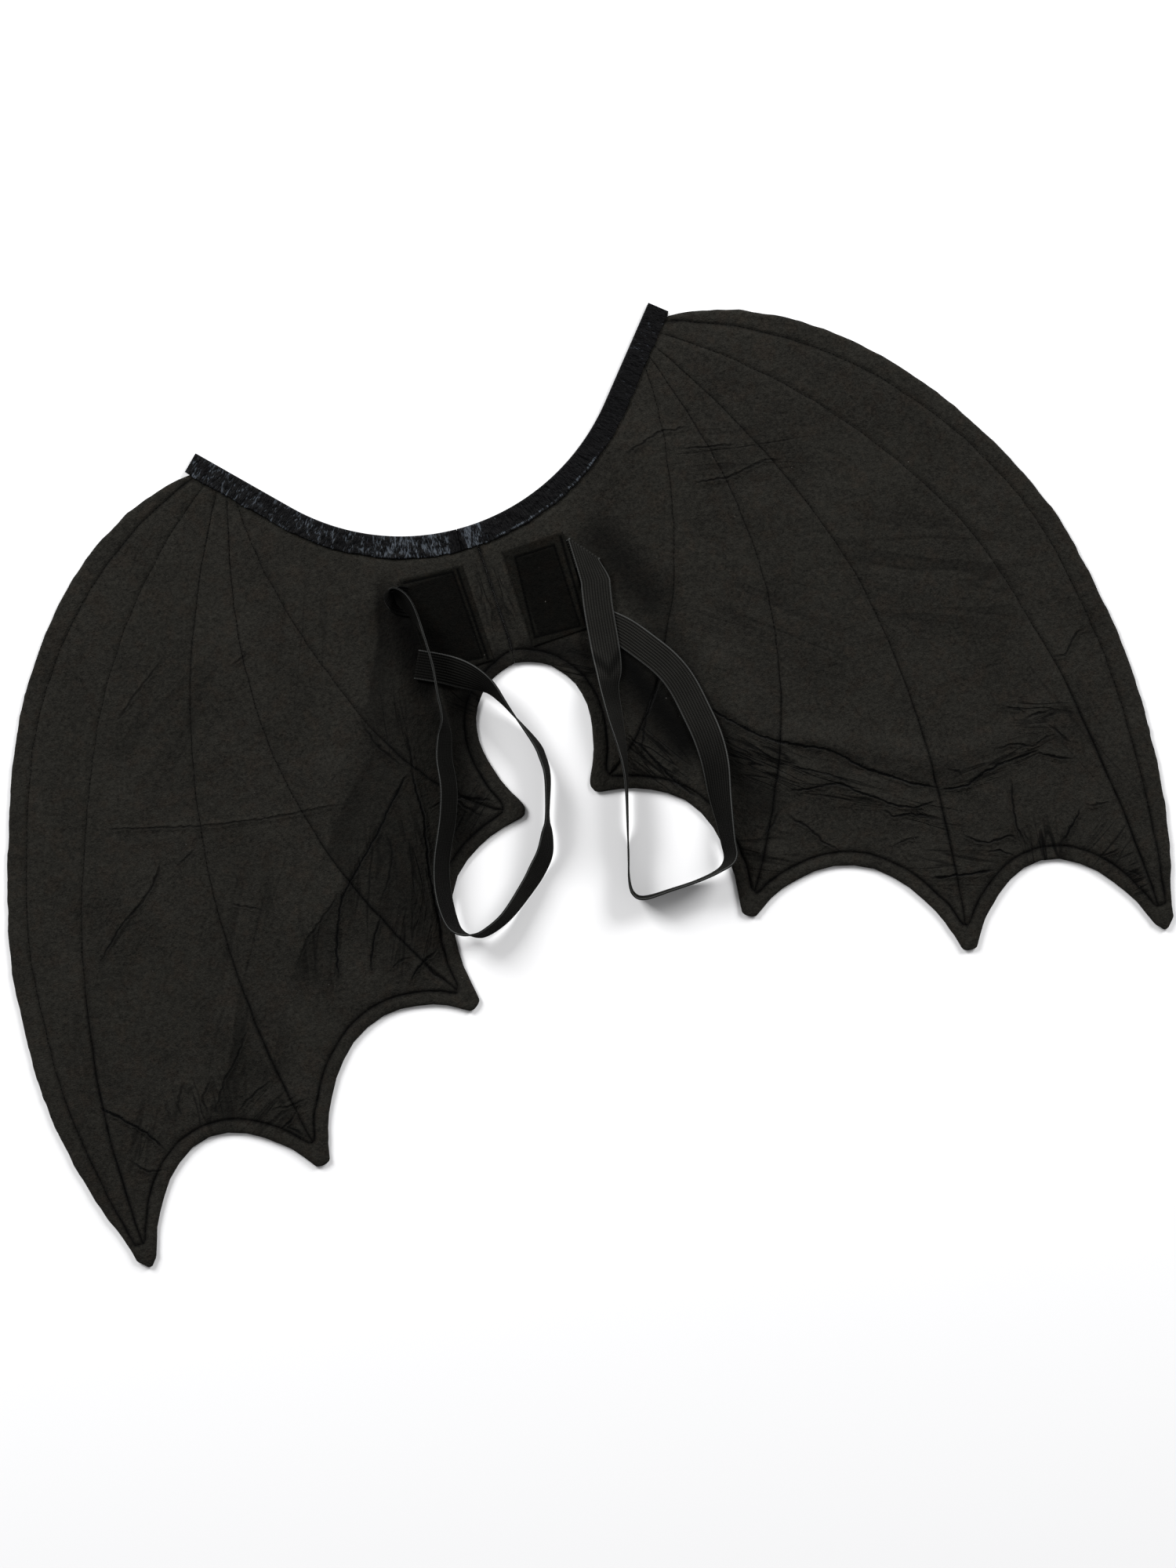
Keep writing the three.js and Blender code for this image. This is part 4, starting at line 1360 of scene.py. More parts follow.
@dataclass
class Wings:
    """The two padded wings."""

    pattern: Pattern = field(default_factory=Pattern)
    cloth: Cloth = field(default_factory=Cloth)
    binding: BindingSizes = field(default_factory=BindingSizes)
    patch: PatchSizes = field(default_factory=PatchSizes)
    middle_rows: int = 232
    hem_rows: int = 36
    hem_reach: float = 2.1
    coarse: int = 4
    edge_wobble: float = 0.5
    wobble_size: float = 7.0
    tip_columns: int = 12
    tip_reach: float = 26.0
    tip_drawn: float = 4.0
    tip_pressed: float = 4.5
    tuck_share: float = 0.44  # how far the lower side rises at the edge, as a share of the thickness
    stitch_lift: float = 0.12
    most_relief: float = 1.4
    surface: Surface | None = None

    @property
    def bind_clear(self) -> float:
        """Neckline to the cloth that is clear of the binding."""
        return self.binding.width + 2 * self.pattern.gap

    def lay_out(self) -> Surface:
        """Works out the grid of one wing, its stitched lines and its distances from them.

        Returns:
            What was worked out.
        """
        panels = self.pattern.panels(self.bind_clear)
        rows = self.middle_rows + self.hem_rows + 1
        columns, stitched = [], []
        for i, panel in enumerate(panels):
            share = np.arange(panel.columns + (i == len(panels) - 1)) / panel.columns
            share = share - 0.3 * np.sin(math.tau * share) / math.tau
            if i:
                stitched.append(sum(len(c) for c in columns))
            u = np.broadcast_to(share, (60, len(share)))
            v = np.broadcast_to(np.linspace(0, 1, 60)[:, None], u.shape)
            length = np.linalg.norm(np.diff(panel.points(u, v), axis=0), axis=2).sum(axis=0)
            hem = self.hem_reach * panel.inset(share, self.pattern) / length
            upper = np.linspace(0, 1, self.middle_rows + 1)[:, None] * (1 - hem)
            lower = 1 - hem * np.linspace(1, 0, self.hem_rows + 1)[1:, None]
            v = np.concatenate([upper, lower])
            columns.append(panel.points(np.broadcast_to(share, v.shape), v).transpose(1, 0, 2))
        stitched.append(sum(len(c) for c in columns) - 1)
        points = np.concatenate(columns).transpose(1, 0, 2)
        x, y = points[..., 0], points[..., 1]
        wobble = np.stack([value_noise(x, y, self.wobble_size, seed) for seed in (3, 4)], axis=-1)
        from_binding = self.pattern.neck.distance(points) - self.bind_clear
        away = smooth(from_binding / 6.0) * smooth((x - 2.0) / 6.0)
        points = points + self.edge_wobble * wobble * away[..., None]
        for column in stitched[:-2]:
            points = self.blunted(points, column)
        hem_row = rows - 1 - round(self.hem_rows / self.hem_reach)
        border = stitched[0]
        lines = [Line(points[: hem_row + 1, j][::-5][::-1]) for j in stitched]
        lines.append(Line(points[hem_row, border:][::3]))
        flat = points.reshape(-1, 2)
        found = [line.distance(flat) for line in lines]
        nearest = np.argmin([d for d, _ in found], axis=0)
        to_stitch = np.min([d for d, _ in found], axis=0)
        share = np.choose(nearest, [s for _, s in found])
        # Strength of the painted shade in each stitched groove: strong at both ends of the outer hem and
        # weaker in its middle, full along the centre seam and the lower hem.
        outer_hem_shade = lerp(0.35, 1.0, np.abs(2 * share - 1) ** 1.5)
        hem_shade = np.where(nearest == 0, outer_hem_shade, nearest >= len(lines) - 2)
        edge = np.concatenate([points[:, 0], points[-1, 1:]])
        to_edge = Line(edge[::3]).distance(flat)[0]
        back = [points[::-1, -1][1:], points[0, ::-1][1:-1]]
        outline = np.concatenate([points[:, 0], points[-1, 1:], *back])
        shape = points.shape[:2]
        self.surface = Surface(
            points, hem_row, tuple(stitched), to_stitch.reshape(shape), share.reshape(shape),
            hem_shade.reshape(shape), to_edge.reshape(shape), outline[::5],
        )
        return self.surface

    def blunted(self, points: np.ndarray, column: int) -> np.ndarray:
        """Draws the tip at the end of a column out, then presses its point flat.

        Args:
            points: the grid of places.
            column: number of the tip's column.

        Returns:
            The moved grid.
        """
        low = max(column - self.tip_columns, 0)
        high = min(column + self.tip_columns, points.shape[1] - 1)
        tip = points[-1, column]
        ahead = tip - (points[-1, low] + points[-1, high]) / 2
        ahead = ahead / np.linalg.norm(ahead)
        near = smooth(1 - np.linalg.norm(points - tip, axis=-1) / self.tip_reach)
        points = points + ahead * (self.tip_drawn * near)[..., None]
        over = (points - tip) @ ahead - self.tip_drawn + self.tip_pressed
        pressed = np.where((over > 0) & (near > 0.2), 0.7 * over, 0.0)
        return points - ahead * pressed[..., None]

    def rise(self, places: np.ndarray, side: Side, margin: float = 0.0) -> np.ndarray:
        """Height that the cloth rises to, with each rise widened by a margin for what lies on it.

        Args:
            places: places in millimetres.
            side: which wing.
            margin: the margin in millimetres.

        Returns:
            A height for each place.
        """
        scale = np.array([self.pattern.reach, self.pattern.drop])
        share = places / scale * np.array([1.0, -1.0])
        highest = np.zeros(places.shape[:-1])
        for row in of_side(RISES, side):
            start = np.array(row.start)
            line = np.array(row.end) - start
            along = np.clip((share - start) @ line / (line @ line), 0.0, 1.0)
            off = (share - start - along[..., None] * line) * scale
            height = row.height * smooth(1 - np.hypot(off[..., 0], off[..., 1]) / (row.spread + margin))
            highest = np.maximum(highest, height)
        return highest

    def relief(self, side: Side) -> np.ndarray:
        """Creases, wrinkles, puckers and soft unevenness of one wing's upper side, in millimetres.

        Args:
            side: which wing.

        Returns:
            A height for each place of the grid.
        """
        at = self.surface
        x, y = at.points[..., 0], at.points[..., 1]
        flat = at.points.reshape(-1, 2)
        seed = 40 + side.value
        wobble = np.stack([value_noise(x, y, 9.0, seed), value_noise(x, y, 9.0, seed + 5)], axis=-1)
        jittered = (at.points + 1.3 * wobble).reshape(-1, 2)
        height = 0.32 * value_noise(x, y, 46.0, seed) + 0.16 * value_noise(x, y, 17.0, seed + 1)
        height += 0.05 * value_noise(x, y, 6.0, seed + 2)
        for crease in of_side(CREASES, side):
            route = Line(np.array(crease.route, float))
            low, high = np.min(crease.route, axis=0) - 14, np.max(crease.route, axis=0) + 14
            near = np.all((flat > low) & (flat < high), axis=1)
            distance, share = route.distance(jittered[near])
            ends = smooth(np.minimum(share, 1 - share) * route.length / 9.0)
            valley = np.exp(-((distance / crease.width) ** 2))
            shoulder = np.exp(-((distance / (3.0 * crease.width)) ** 2))
            height.reshape(-1)[near] += crease.depth * ends * (0.42 * shoulder - 0.9 * valley)
        for n, field_ in enumerate(of_side(WRINKLES, side)):
            ahead, across = headed(field_.heading), headed(field_.heading + 90)
            off = flat - np.array(field_.middle)
            along, beside = off @ ahead, off @ across
            bend = value_noise(along, beside, field_.half[0] * 0.5, seed + 20 + n)
            bent = beside + 0.12 * field_.half[0] * bend
            inside = smooth(1.15 - np.hypot(along / field_.half[0], beside / field_.half[1]))
            wave = value_noise(along * 0.13, bent, field_.spacing, seed + 60 + n)
            ridge = 1.0 - 1.7 * np.sqrt(np.abs(wave))
            height += (field_.depth * inside * ridge).reshape(height.shape)
        pucker = value_noise(at.to_stitch_share * 900, at.to_stitch * 0.3, 3.4, seed + 90)
        height += 0.26 * pucker * np.exp(-at.to_stitch / 5.5)
        return height

    @property
    def clear(self) -> np.ndarray:
        """0 under the binding to 1 beside it, at each place of the grid."""
        from_neck = self.pattern.neck.distance(self.surface.points)
        return smooth((from_neck - self.bind_clear) / self.binding.ramp)

    def low(self, side: Side) -> np.ndarray:
        """Height of one wing's lower side, away from its edge, at each place of the grid."""
        lifted = self.binding.thick + self.pattern.gap
        return lerp(lifted, self.rise(self.surface.points, side), self.clear)

    def top(self, side: Side) -> np.ndarray:
        """Height of one wing's upper side at each place of the grid.

        Args:
            side: which wing.

        Returns:
            The heights.
        """
        at = self.surface
        cloth = self.cloth
        down = smooth(-at.points[..., 1] / self.pattern.drop)
        puff = lerp(4.5, cloth.puff, down)
        pressed = lerp(cloth.thick - 1.5, cloth.stitch, smooth(-at.points[..., 1] / 260.0 + 0.25))
        thick = lerp(pressed, cloth.thick, puffed(at.to_stitch / puff))
        by_edge = smooth(at.to_edge / 6.0)
        uneven = np.minimum(self.relief(side), self.room_above()) * self.clear * by_edge
        full = lerp(cloth.pinched, np.maximum(thick + uneven, 1.0), self.clear)
        round_edge = puffed(at.to_edge / cloth.edge_round)
        return self.low(side) + full * lerp(1 - self.tuck_share, 1.0, round_edge)

    def room_above(self) -> np.ndarray:
        """How far the upper side may rise at each place, which is nearly nothing under a patch.

        Returns:
            A height for each place of the grid.
        """
        at = self.surface.points
        patch = self.patch
        aside = np.maximum(patch.inset - at[..., 0], at[..., 0] - patch.outer)
        above = np.maximum(at[..., 1] + patch.drop, -patch.drop - patch.height - at[..., 1])
        off = np.maximum(np.maximum(aside, above), 0.0)
        near_loop = smooth((np.hypot((at[..., 0] - 62) / 60, (at[..., 1] + 130) / 125) - 0.9) / 0.2)
        beside_patch = lerp(0.1, self.most_relief, smooth(off / 12.0))
        return np.minimum(beside_patch, lerp(0.2, self.most_relief, near_loop))

    def shade(self, side: Side) -> np.ndarray:
        """Share of painted shade at each place: the painted shadows, and painted shade in the stitched
        grooves.

        Args:
            side: which wing.

        Returns:
            A share for each place of the grid, in one row.
        """
        flat = self.surface.points.reshape(-1, 2)
        dark = np.zeros(len(flat))
        for row in of_side(SHADOWS, side):
            dark = np.maximum(dark, row.share(flat))
        at = self.surface
        # Painted shade in the stitched grooves, wider and darker towards the tips and along the hems and
        # the centre seam.
        by_tip = smooth((at.to_stitch_share.ravel() - 0.55) / 0.25)
        hem = at.hem_shade.ravel()
        patchy = 1 + 0.25 * value_noise(flat[:, 0], flat[:, 1], 6.0, 77)
        groove = np.maximum(lerp(0.3, 0.85, by_tip) * (hem == 0), 0.85 * hem) * patchy
        width = np.maximum(lerp(0.6, 1.25, by_tip), 1.35 * hem)
        groove = np.clip(groove, 0, 1) * np.exp(-((at.to_stitch.ravel() / width) ** 2))
        return 1 - (1 - dark) * (1 - groove)

    def crease_layer(self, features: Sequence[Crease], places: np.ndarray) -> np.ndarray:
        """Signed distance in millimetres from the nearest of some creases, and how strong it is there.

        Args:
            features: creases, no two near each other.
            places: places in millimetres.

        Returns:
            Distance, strength and nothing for each place.
        """
        made = np.zeros((len(places), 3))
        for crease in features:
            line = Line(Line(np.array(crease.route, float)).at(np.linspace(0, 1, 5 * len(crease.route))))
            low, high = box_of(crease)
            near = np.flatnonzero(np.all((places > low) & (places < high), axis=1))
            distance, share = line.distance(places[near])
            ahead = line.at(np.minimum(share + 0.01, 1)) - line.at(np.maximum(share - 0.01, 0))
            off = places[near] - line.at(share)
            sign = np.sign(ahead[:, 0] * off[:, 1] - ahead[:, 1] * off[:, 0])
            end = smooth(np.minimum(share, 1 - share) * line.length / 12.0) ** 0.5
            fade = smooth((CREASE_REACH - distance) / 1.5)
            strength = np.clip(0.45 + 0.4 * crease.depth, 0, 1.3) * end * fade
            made[near, 0] = sign * distance
            made[near, 1] = strength
        return made

    def wrinkle_layer(self, features: Sequence[Wrinkles], places: np.ndarray) -> np.ndarray:
        """Places along and across some wrinkles in widths of one, and how strong they are there.

        Args:
            features: fields of wrinkles, no two near each other.
            places: places in millimetres.

        Returns:
            Along, across and strength for each place.
        """
        made = np.zeros((len(places), 3))
        for n, wrinkles in enumerate(features):
            ahead, across = headed(wrinkles.heading), headed(wrinkles.heading + 90)
            off = places - np.array(wrinkles.middle)
            along, beside = off @ ahead, off @ across
            from_middle = np.hypot(along / wrinkles.half[0], beside / wrinkles.half[1])
            strength = smooth(1.25 * (1 - from_middle))
            near = strength > 0
            width = 1.5 * wrinkles.spacing
            drawn = [along * 0.12 / width + 9.0 * n, beside / width, strength * wrinkles.depth * 1.5]
            made[near] = np.stack(drawn, axis=-1)[near]
        return made

    def build(self, side: Side, placing: Placing) -> tuple[bpy.types.Object, list[np.ndarray]]:
        """Makes one wing.

        Args:
            side: which wing.
            placing: where the pattern lies.

        Returns:
            The wing, and the routes of its lines of stitches.
        """
        at = self.surface
        x = side.value * at.points[..., 0] + self.pattern.shift(at.points)
        upper = np.stack([x, at.points[..., 1], self.top(side)], axis=-1)
        low = self.low(side)
        tucked = self.tuck_share * self.cloth.thick * (1 - puffed(at.to_edge / self.cloth.edge_round))
        lower = np.stack([x, at.points[..., 1], low + tucked], axis=-1)
        name = f"wing_{side.label}_cloth"
        made = new_slab(name, upper, lower, self.coarse, placing, side is Side.RIGHT)
        set_attribute(made, "shade", self.shade(side))
        flat = at.points.reshape(-1, 2)
        creases, wrinkles = layered(CREASES, side), layered(WRINKLES, side)
        log.info("%d layers of creases, %d of wrinkles", len(creases), len(wrinkles))
        for n in range(CREASE_LAYERS):
            found = self.crease_layer(creases[n] if n < len(creases) else [], flat)
            set_attribute(made, f"crease_{n}", found)
        for n in range(WRINKLE_LAYERS):
            found = self.wrinkle_layer(wrinkles[n] if n < len(wrinkles) else [], flat)
            set_attribute(made, f"wrinkle_{n}", found)
        lift = np.array([0.0, 0.0, self.stitch_lift])
        middle = at.points.shape[1] // 2
        first = int(np.argmax(self.pattern.neck.distance(at.points[:, middle]) > self.bind_clear))
        routes = [upper[first : at.hem_row + 1, j] + lift for j in at.stitched_columns[:-1]]
        routes.append(upper[at.hem_row, at.stitched_columns[0] :: 2] + lift)
        return made, [placing.place(route) for route in routes]


@dataclass
class NeckBinding:
    """Ribbon folded over the neckline, in two lengths."""

    pattern: Pattern
    sizes: BindingSizes
    cloth: Cloth
    steps: int = 420
    across: int = 22

    def section(self) -> tuple[np.ndarray, np.ndarray]:
        """Depth and height of the folded ribbon's outline, and which points are on its upper layer.

        Returns:
            The outline's points, and 1 for each point on the upper layer.
        """
        top = 2 * self.sizes.thick + 2 * self.pattern.gap + self.cloth.pinched
        thick, back = self.sizes.thick, self.sizes.thick
        share = np.linspace(0, 1, self.across)
        width = self.sizes.width
        turn = np.linspace(-90, 90, 9)
        half = top / 2
        fold = np.stack([-back * np.cos(np.radians(turn)), half + half * np.sin(np.radians(turn))], axis=1)
        lower = np.stack([width * (1 - share), np.zeros_like(share)], axis=1)
        upper = np.stack([width * share, np.full_like(share, top)], axis=1)
        rolled = np.array([[width + 0.25, top - 0.25 * thick], [width, top - thick]])
        inner_top = np.stack([width * (1 - share[::3]), np.full_like(share[::3], top - thick)], axis=1)
        inner_low = np.stack([width * share[::3], np.full_like(share[::3], thick)], axis=1)
        outline = np.concatenate([lower, fold[1:-1], upper, rolled, inner_top[1:], inner_low])
        on_top = np.zeros(len(outline))
        start = len(lower) + len(fold) - 2
        on_top[start : start + len(upper)] = 1.0
        return outline, on_top

    def cut(self, side: Side) -> tuple[float, float]:
        """Length and width in metres that the ribbon on one side was cut to."""
        length = self.pattern.neck.length + self.sizes.overhang + side.value * self.sizes.join
        return (length * MM, (2 * self.sizes.width + self.cloth.thick) * MM)

    def build(self, side: Side, placing: Placing) -> bpy.types.Object:
        """Makes the length of ribbon on one side.

        Args:
            side: which side.
            placing: where the pattern lies.

        Returns:
            The ribbon.
        """
        end = side.value * (self.pattern.neck.length + self.sizes.overhang)
        start = -self.sizes.join - (self.pattern.gap if side is Side.LEFT else 0.0)
        length = np.linspace(start, end, self.steps)
        outline, on_top = self.section()
        edge = self.pattern.neck.point(length)[:, None]
        inward = self.pattern.neck.inward(length)[:, None]
        depth, z = outline[:, 0], outline[:, 1]
        along = np.broadcast_to(length[:, None], (self.steps, len(outline)))
        deep = np.broadcast_to(depth, along.shape)
        edge_wave = 0.5 * value_noise(along, deep * 0.2, 7.0, 11)
        edge_wave += 0.3 * value_noise(along, deep * 0.3, 2.2, 12)
        reach = deep + np.clip(deep / self.sizes.width, 0, 1) ** 4 * edge_wave
        crush = 0.30 * value_noise(along, deep, 2.6, 13) + 0.16 * value_noise(along, deep, 1.2, 14)
        crush += 0.34 * value_noise(along, deep * 0.5, 7.0, 15)
        gathered = np.exp(-(((along + self.sizes.join) / 5.0) ** 2))
        crush += gathered * 0.5 * np.sin(along * 2.1 + 0.4 * np.sin(deep))
        height = z + on_top * np.clip(crush + 0.15, -0.1, 1.0) * smooth(deep / 2.0 + 0.3)
        flat = edge + inward * reach[..., None]
        points = np.concatenate([flat, height[..., None]], axis=-1)
        name = f"neck_binding_{side.label}_ribbon"
        faces = tube_faces(self.steps, len(outline), turned=True)
        made = new_object(name, placing.place(points.reshape(-1, 3)), faces, side is Side.LEFT)
        set_attribute(made, "painted_gleam", self.painted_gleam(along, deep, side).ravel())
        set_uv(made, np.stack([along, deep * 0.3], axis=-1).reshape(-1, 2) * MM)
        return made

    def painted_gleam(self, along: np.ndarray, deep: np.ndarray, side: Side) -> np.ndarray:
        """Painted glints and shade of the pile, from -1 to 1: how far the ribbon is painted towards its
        glint colour.

        Args:
            along: lengths along the neckline.
            deep: distances from it.
            side: which side.

        Returns:
            A number for each place.
        """
        # Painted glints at the seam and along the stitches of the right length, painted shade at the join
        # and over the right length.
        seam = np.exp(-((along / 8.0) ** 4))
        join = np.exp(-(((along + 13.0) / 2.5) ** 2))
        if side is Side.LEFT:
            painted_glint = smooth((along + 95) / 50) * smooth((-along - 10) / 8)
            return lerp(0.1, 0.38, painted_glint) + 0.6 * seam - 0.9 * join
        low_row = np.exp(-(((deep - 12.4) / 0.9) ** 2))
        low_row = low_row * smooth((115 - along) / 20) * smooth((along - 8) / 6)
        return -0.45 + 1.0 * low_row + 1.0 * seam + 0.25 * smooth((along - 110) / 40)


@dataclass(frozen=True)
class RouteStep:
    """One place of an arm loop: across from the patch and down from its top as shares of the loop's
    breadth and drop, the band's roll in degrees, and how many layers it lies on."""

    across: float
    down: float
    roll: float
    layer: float = 0.0


def route(*steps: tuple[float, ...]) -> tuple[RouteStep, ...]:
    """Steps of a route from rows of across, down, roll and layer."""
    return tuple(RouteStep(*step) for step in steps)


RIGHT_ROUTE = route(
    (0.13, 0.15, 183, 1.3), (0.08, 0.226, 186, 1.3), (0.0375, 0.316, 190, 1), (0, 0.388, 208, 0.4),
    (-0.044, 0.436, 230), (-0.075, 0.516, 240), (-0.1, 0.596, 253), (-0.131, 0.656, 262),
    (-0.181, 0.716, 266), (-0.256, 0.796, 268), (-0.331, 0.876, 270), (-0.391, 0.94, 268),
    (-0.394, 0.98, 266), (-0.3125, 1.0, 266), (-0.0875, 1.002, 268), (0.1625, 1.001, 268),
    (0.3625, 0.991, 264), (0.469, 0.968, 246), (0.494, 0.924, 242), (0.519, 0.876, 237),
    (0.55, 0.804, 222), (0.6, 0.716, 204), (0.609, 0.644, 192), (0.5875, 0.576, 186),
    (0.544, 0.488, 186), (0.469, 0.424, 188), (0.35, 0.364, 188), (0.231, 0.312, 184),
    (0.13, 0.28, 180), (0.055, 0.262, 180),
)
LEFT_ROUTE = route(
    (-0.0125, 0.048, 0), (0.0625, 0.034, -20, 0.3), (0.1125, 0.018, -58, 0.6), (0.106, 0.008, -86, 0.8),
    (0.075, 0.014, -106, 1.2), (0.034, 0.034, -116, 1.8), (-0.002, 0.06, -113, 2.1),
    (-0.031, 0.096, -103, 2.1), (-0.048, 0.146, -94, 2), (-0.046, 0.23, -90, 2),
    (-0.0125, 0.304, -90, 1.6), (0.006, 0.376, -83), (0.05, 0.42, -65), (0.1125, 0.476, -60),
    (0.156, 0.556, -58),
    (0.25, 0.636, -58), (0.394, 0.728, -60), (0.4625, 0.796, -59), (0.4875, 0.856, -61),
    (0.481, 0.904, -68), (0.4375, 0.932, -82), (0.3625, 0.948, -94), (0.25, 0.954, -105),
    (0.0375, 0.93, -111), (-0.2125, 0.872, -120), (-0.3375, 0.836, -125), (-0.4375, 0.8, -122),
    (-0.506, 0.752, -110), (-0.55, 0.712, -96), (-0.656, 0.612, -100), (-0.669, 0.556, -102),
    (-0.65, 0.512, -100), (-0.55, 0.424, -88), (-0.5, 0.38, -80), (-0.4375, 0.336, -65, 0.5),
    (-0.3375, 0.302, -40, 1), (-0.2125, 0.27, -15, 1), (-0.0875, 0.244, -2, 1), (0.0875, 0.214, 0, 1),
)


@dataclass(frozen=True)
class LoopShadow:
    """A stretch of an arm loop with painted shade: its ends along it, how softly it fades, how dark it is
    and its lean.
    """

    side: Side
    start: float
    end: float
    fade: float
    darkness: float
    lean: float = 0.0  # how far the stretch moves back for each millimetre from the middle of the band

    def share(self, along: np.ndarray, off: np.ndarray) -> np.ndarray:
        """Painted shade at places along the loop and off its middle."""
        place = along + self.lean * off
        begun, left = (place - self.start) / self.fade, (self.end - place) / self.fade
        return self.darkness * smooth(begun) * smooth(left)


# Painted shade on stretches of the arm loops that lie in shadow or turn away from the light.
LOOP_SHADOWS = listed(
    LoopShadow, L,
    (-20.0, 26.0, 6.0, 0.97),
    (-20.0, 70.0, 16.0, 0.72),
    (50.0, 330.0, 30.0, 0.5),
    (300.0, 470.0, 40.0, 0.4),
    (440.0, 580.0, 26.0, 0.55),
) + listed(
    LoopShadow, R,
    (98.0, 114.0, 7.0, 0.62, 1.2),
    (104.0, 134.0, 12.0, 0.35),
    (150.0, 330.0, 24.0, 0.42),
    (290.0, 440.0, 55.0, 0.55),
)


@dataclass
class ArmLoop:
    """Flat ribbed elastic that lies, leans and stands on the cloth and the surface beside it."""

    wings: Wings
    side: Side
    steps: tuple[RouteStep, ...]
    width: float = 20.0
    thick: float = 1.2
    tuck: float = 10.0
    seat: float = 16.0
    fold_out: float = 9.5
    fold_angle: float = -52.0
    breadth: float = 80.0
    drop: float = 250.0
    floor_gap: float = 0.3
    floor_slope: float = 22.0
    edge_margin: float = 6.0
    cad_steps: int = 96
    finer: int = 5
    ribs: int = 11

    @property
    def layer(self) -> float:
        """Height of one layer of elastic."""
        return self.thick + self.wings.pattern.gap

    @property
    def level(self) -> float:
        """Height of the flat cloth's upper side."""
        return self.wings.cloth.thick + self.wings.pattern.gap

    @property
    def patch_top(self) -> float:
        """Y of the patch's upper edge."""
        return -self.wings.patch.drop

    def centres(self) -> tuple[np.ndarray, np.ndarray, np.ndarray]:
        """Middle line of the band, its roll in radians and its layers, at the CAD model's stations.

        Returns:
            The places, the rolls and the layers.
        """
        table = np.array([[
            self.wings.patch.outer + step.across * self.breadth,
            self.patch_top - step.down * self.drop, step.roll,
        ] for step in self.steps])
        layers = np.array([step.layer for step in self.steps])
        last = len(table) - 1
        place = np.linspace(0, last, self.cad_steps + 1)
        i = np.minimum(place.astype(int), last - 1)
        t = (place - i)[:, None]
        p1, p2 = table[i], table[i + 1]
        p0 = np.where(i[:, None] > 0, table[np.maximum(i - 1, 0)], 2 * p1 - p2)
        p3 = np.where(i[:, None] + 2 <= last, table[np.minimum(i + 2, last)], 2 * p2 - p1)
        m1, m2 = 0.5 * (p2 - p0), 0.5 * (p3 - p1)
        cubic, square = 2 * p1 - 2 * p2 + m1 + m2, -3 * p1 + 3 * p2 - 2 * m1 - m2
        point = cubic * t**3 + square * t**2 + m1 * t + p1
        return point[:, :2], np.radians(point[:, 2]), np.interp(place, np.arange(last + 1), layers)

    def rest_level(self, places: np.ndarray) -> np.ndarray:
        """Height at which the elastic rests over places.

        Args:
            places: places in millimetres.

        Returns:
            A height for each place.
        """
        outline = self.wings.surface.outline
        distance, _ = Line(np.vstack([outline, outline[:1]])).distance(places)
        nxt = np.roll(outline, -1, axis=0)
        x, y = places[:, :1], places[:, 1:]
        crosses = (outline[:, 1] > y) != (nxt[:, 1] > y)
        rise = np.where(nxt[:, 1] == outline[:, 1], 1e-9, nxt[:, 1] - outline[:, 1])
        left = x < outline[:, 0] + (nxt[:, 0] - outline[:, 0]) * (y - outline[:, 1]) / rise
        inside = np.sum(crosses & left, axis=1) % 2 == 1
        outside = np.where(inside, 0.0, distance - self.edge_margin)
        on_cloth = self.level + self.wings.rise(places, self.side, self.edge_margin)
        return lerp(self.floor_gap, on_cloth, smooth(1 - outside / self.floor_slope))

    def stations(self) -> tuple[np.ndarray, np.ndarray, np.ndarray]:
        """Middle of the band, the direction across it and the direction through it, from end to end.

        Returns:
            The three at each station.
        """
        centre, roll, layers = self.centres()
        ahead = np.roll(centre, -1, axis=0)
        ahead[-1] = centre[-1]
        behind = np.roll(centre, 1, axis=0)
        behind[0] = centre[0]
        heading = (ahead - behind) / np.linalg.norm(ahead - behind, axis=1)[:, None]
        right = np.stack([heading[:, 1], -heading[:, 0]], axis=1)
        share = np.linspace(-0.5, 0.5, 11)
        aside = share[:, None] * self.width * np.cos(roll)[:, None, None]
        under = (centre[:, None] + right[:, None] * aside).reshape(-1, 2)
        rest = self.rest_level(under).reshape(len(centre), -1).max(axis=1) + layers * self.layer
        padded = np.pad(rest, 2, mode="edge")
        near = np.max([padded[k : k + len(rest)] for k in range(5)], axis=0)
        across = np.concatenate([right * np.cos(roll)[:, None], np.sin(roll)[:, None]], axis=1)
        through = np.cross(across, np.concatenate([heading, np.zeros((len(heading), 1))], axis=1))
        half = (self.width * np.abs(across[:, 2]) + self.thick * np.abs(through[:, 2])) / 2
        middle = np.concatenate([centre, (near + half)[:, None]], axis=1)
        first = self.folded_start() if self.side is Side.RIGHT else self.tucked_start()
        return tuple(np.concatenate([a, b]) for a, b in zip(first, (middle, across, through)))

    def folded_start(self) -> tuple[np.ndarray, np.ndarray, np.ndarray]:
        """Flat from under the patch, then folded back over itself along a slanting line.

        Returns:
            Middle, across and through at each station.
        """
        y = self.patch_top - self.seat
        slant = headed(self.fold_angle)
        along = np.array([slant[0], slant[1], 0.0]) / abs(slant[1])
        outward = np.array([-slant[1], slant[0], 0.0])
        low = self.level + self.thick / 2
        middles, acrosses = [[self.wings.patch.outer - self.tuck, y, low]], [[0, -1, 0]]
        throughs = [[0, 0, 1]]
        for angle in np.radians(np.linspace(0, 180, 9)):
            middle = np.array([self.wings.patch.outer + self.fold_out, y, low + self.layer / 2])
            middle = middle + outward * self.layer / 2 * math.sin(angle)
            middle[2] -= self.layer / 2 * math.cos(angle)
            middles.append(middle)
            acrosses.append(along)
            throughs.append(np.array([0, 0, math.cos(angle)]) - outward * math.sin(angle))
        return np.array(middles), np.array(acrosses, float), np.array(throughs, float)

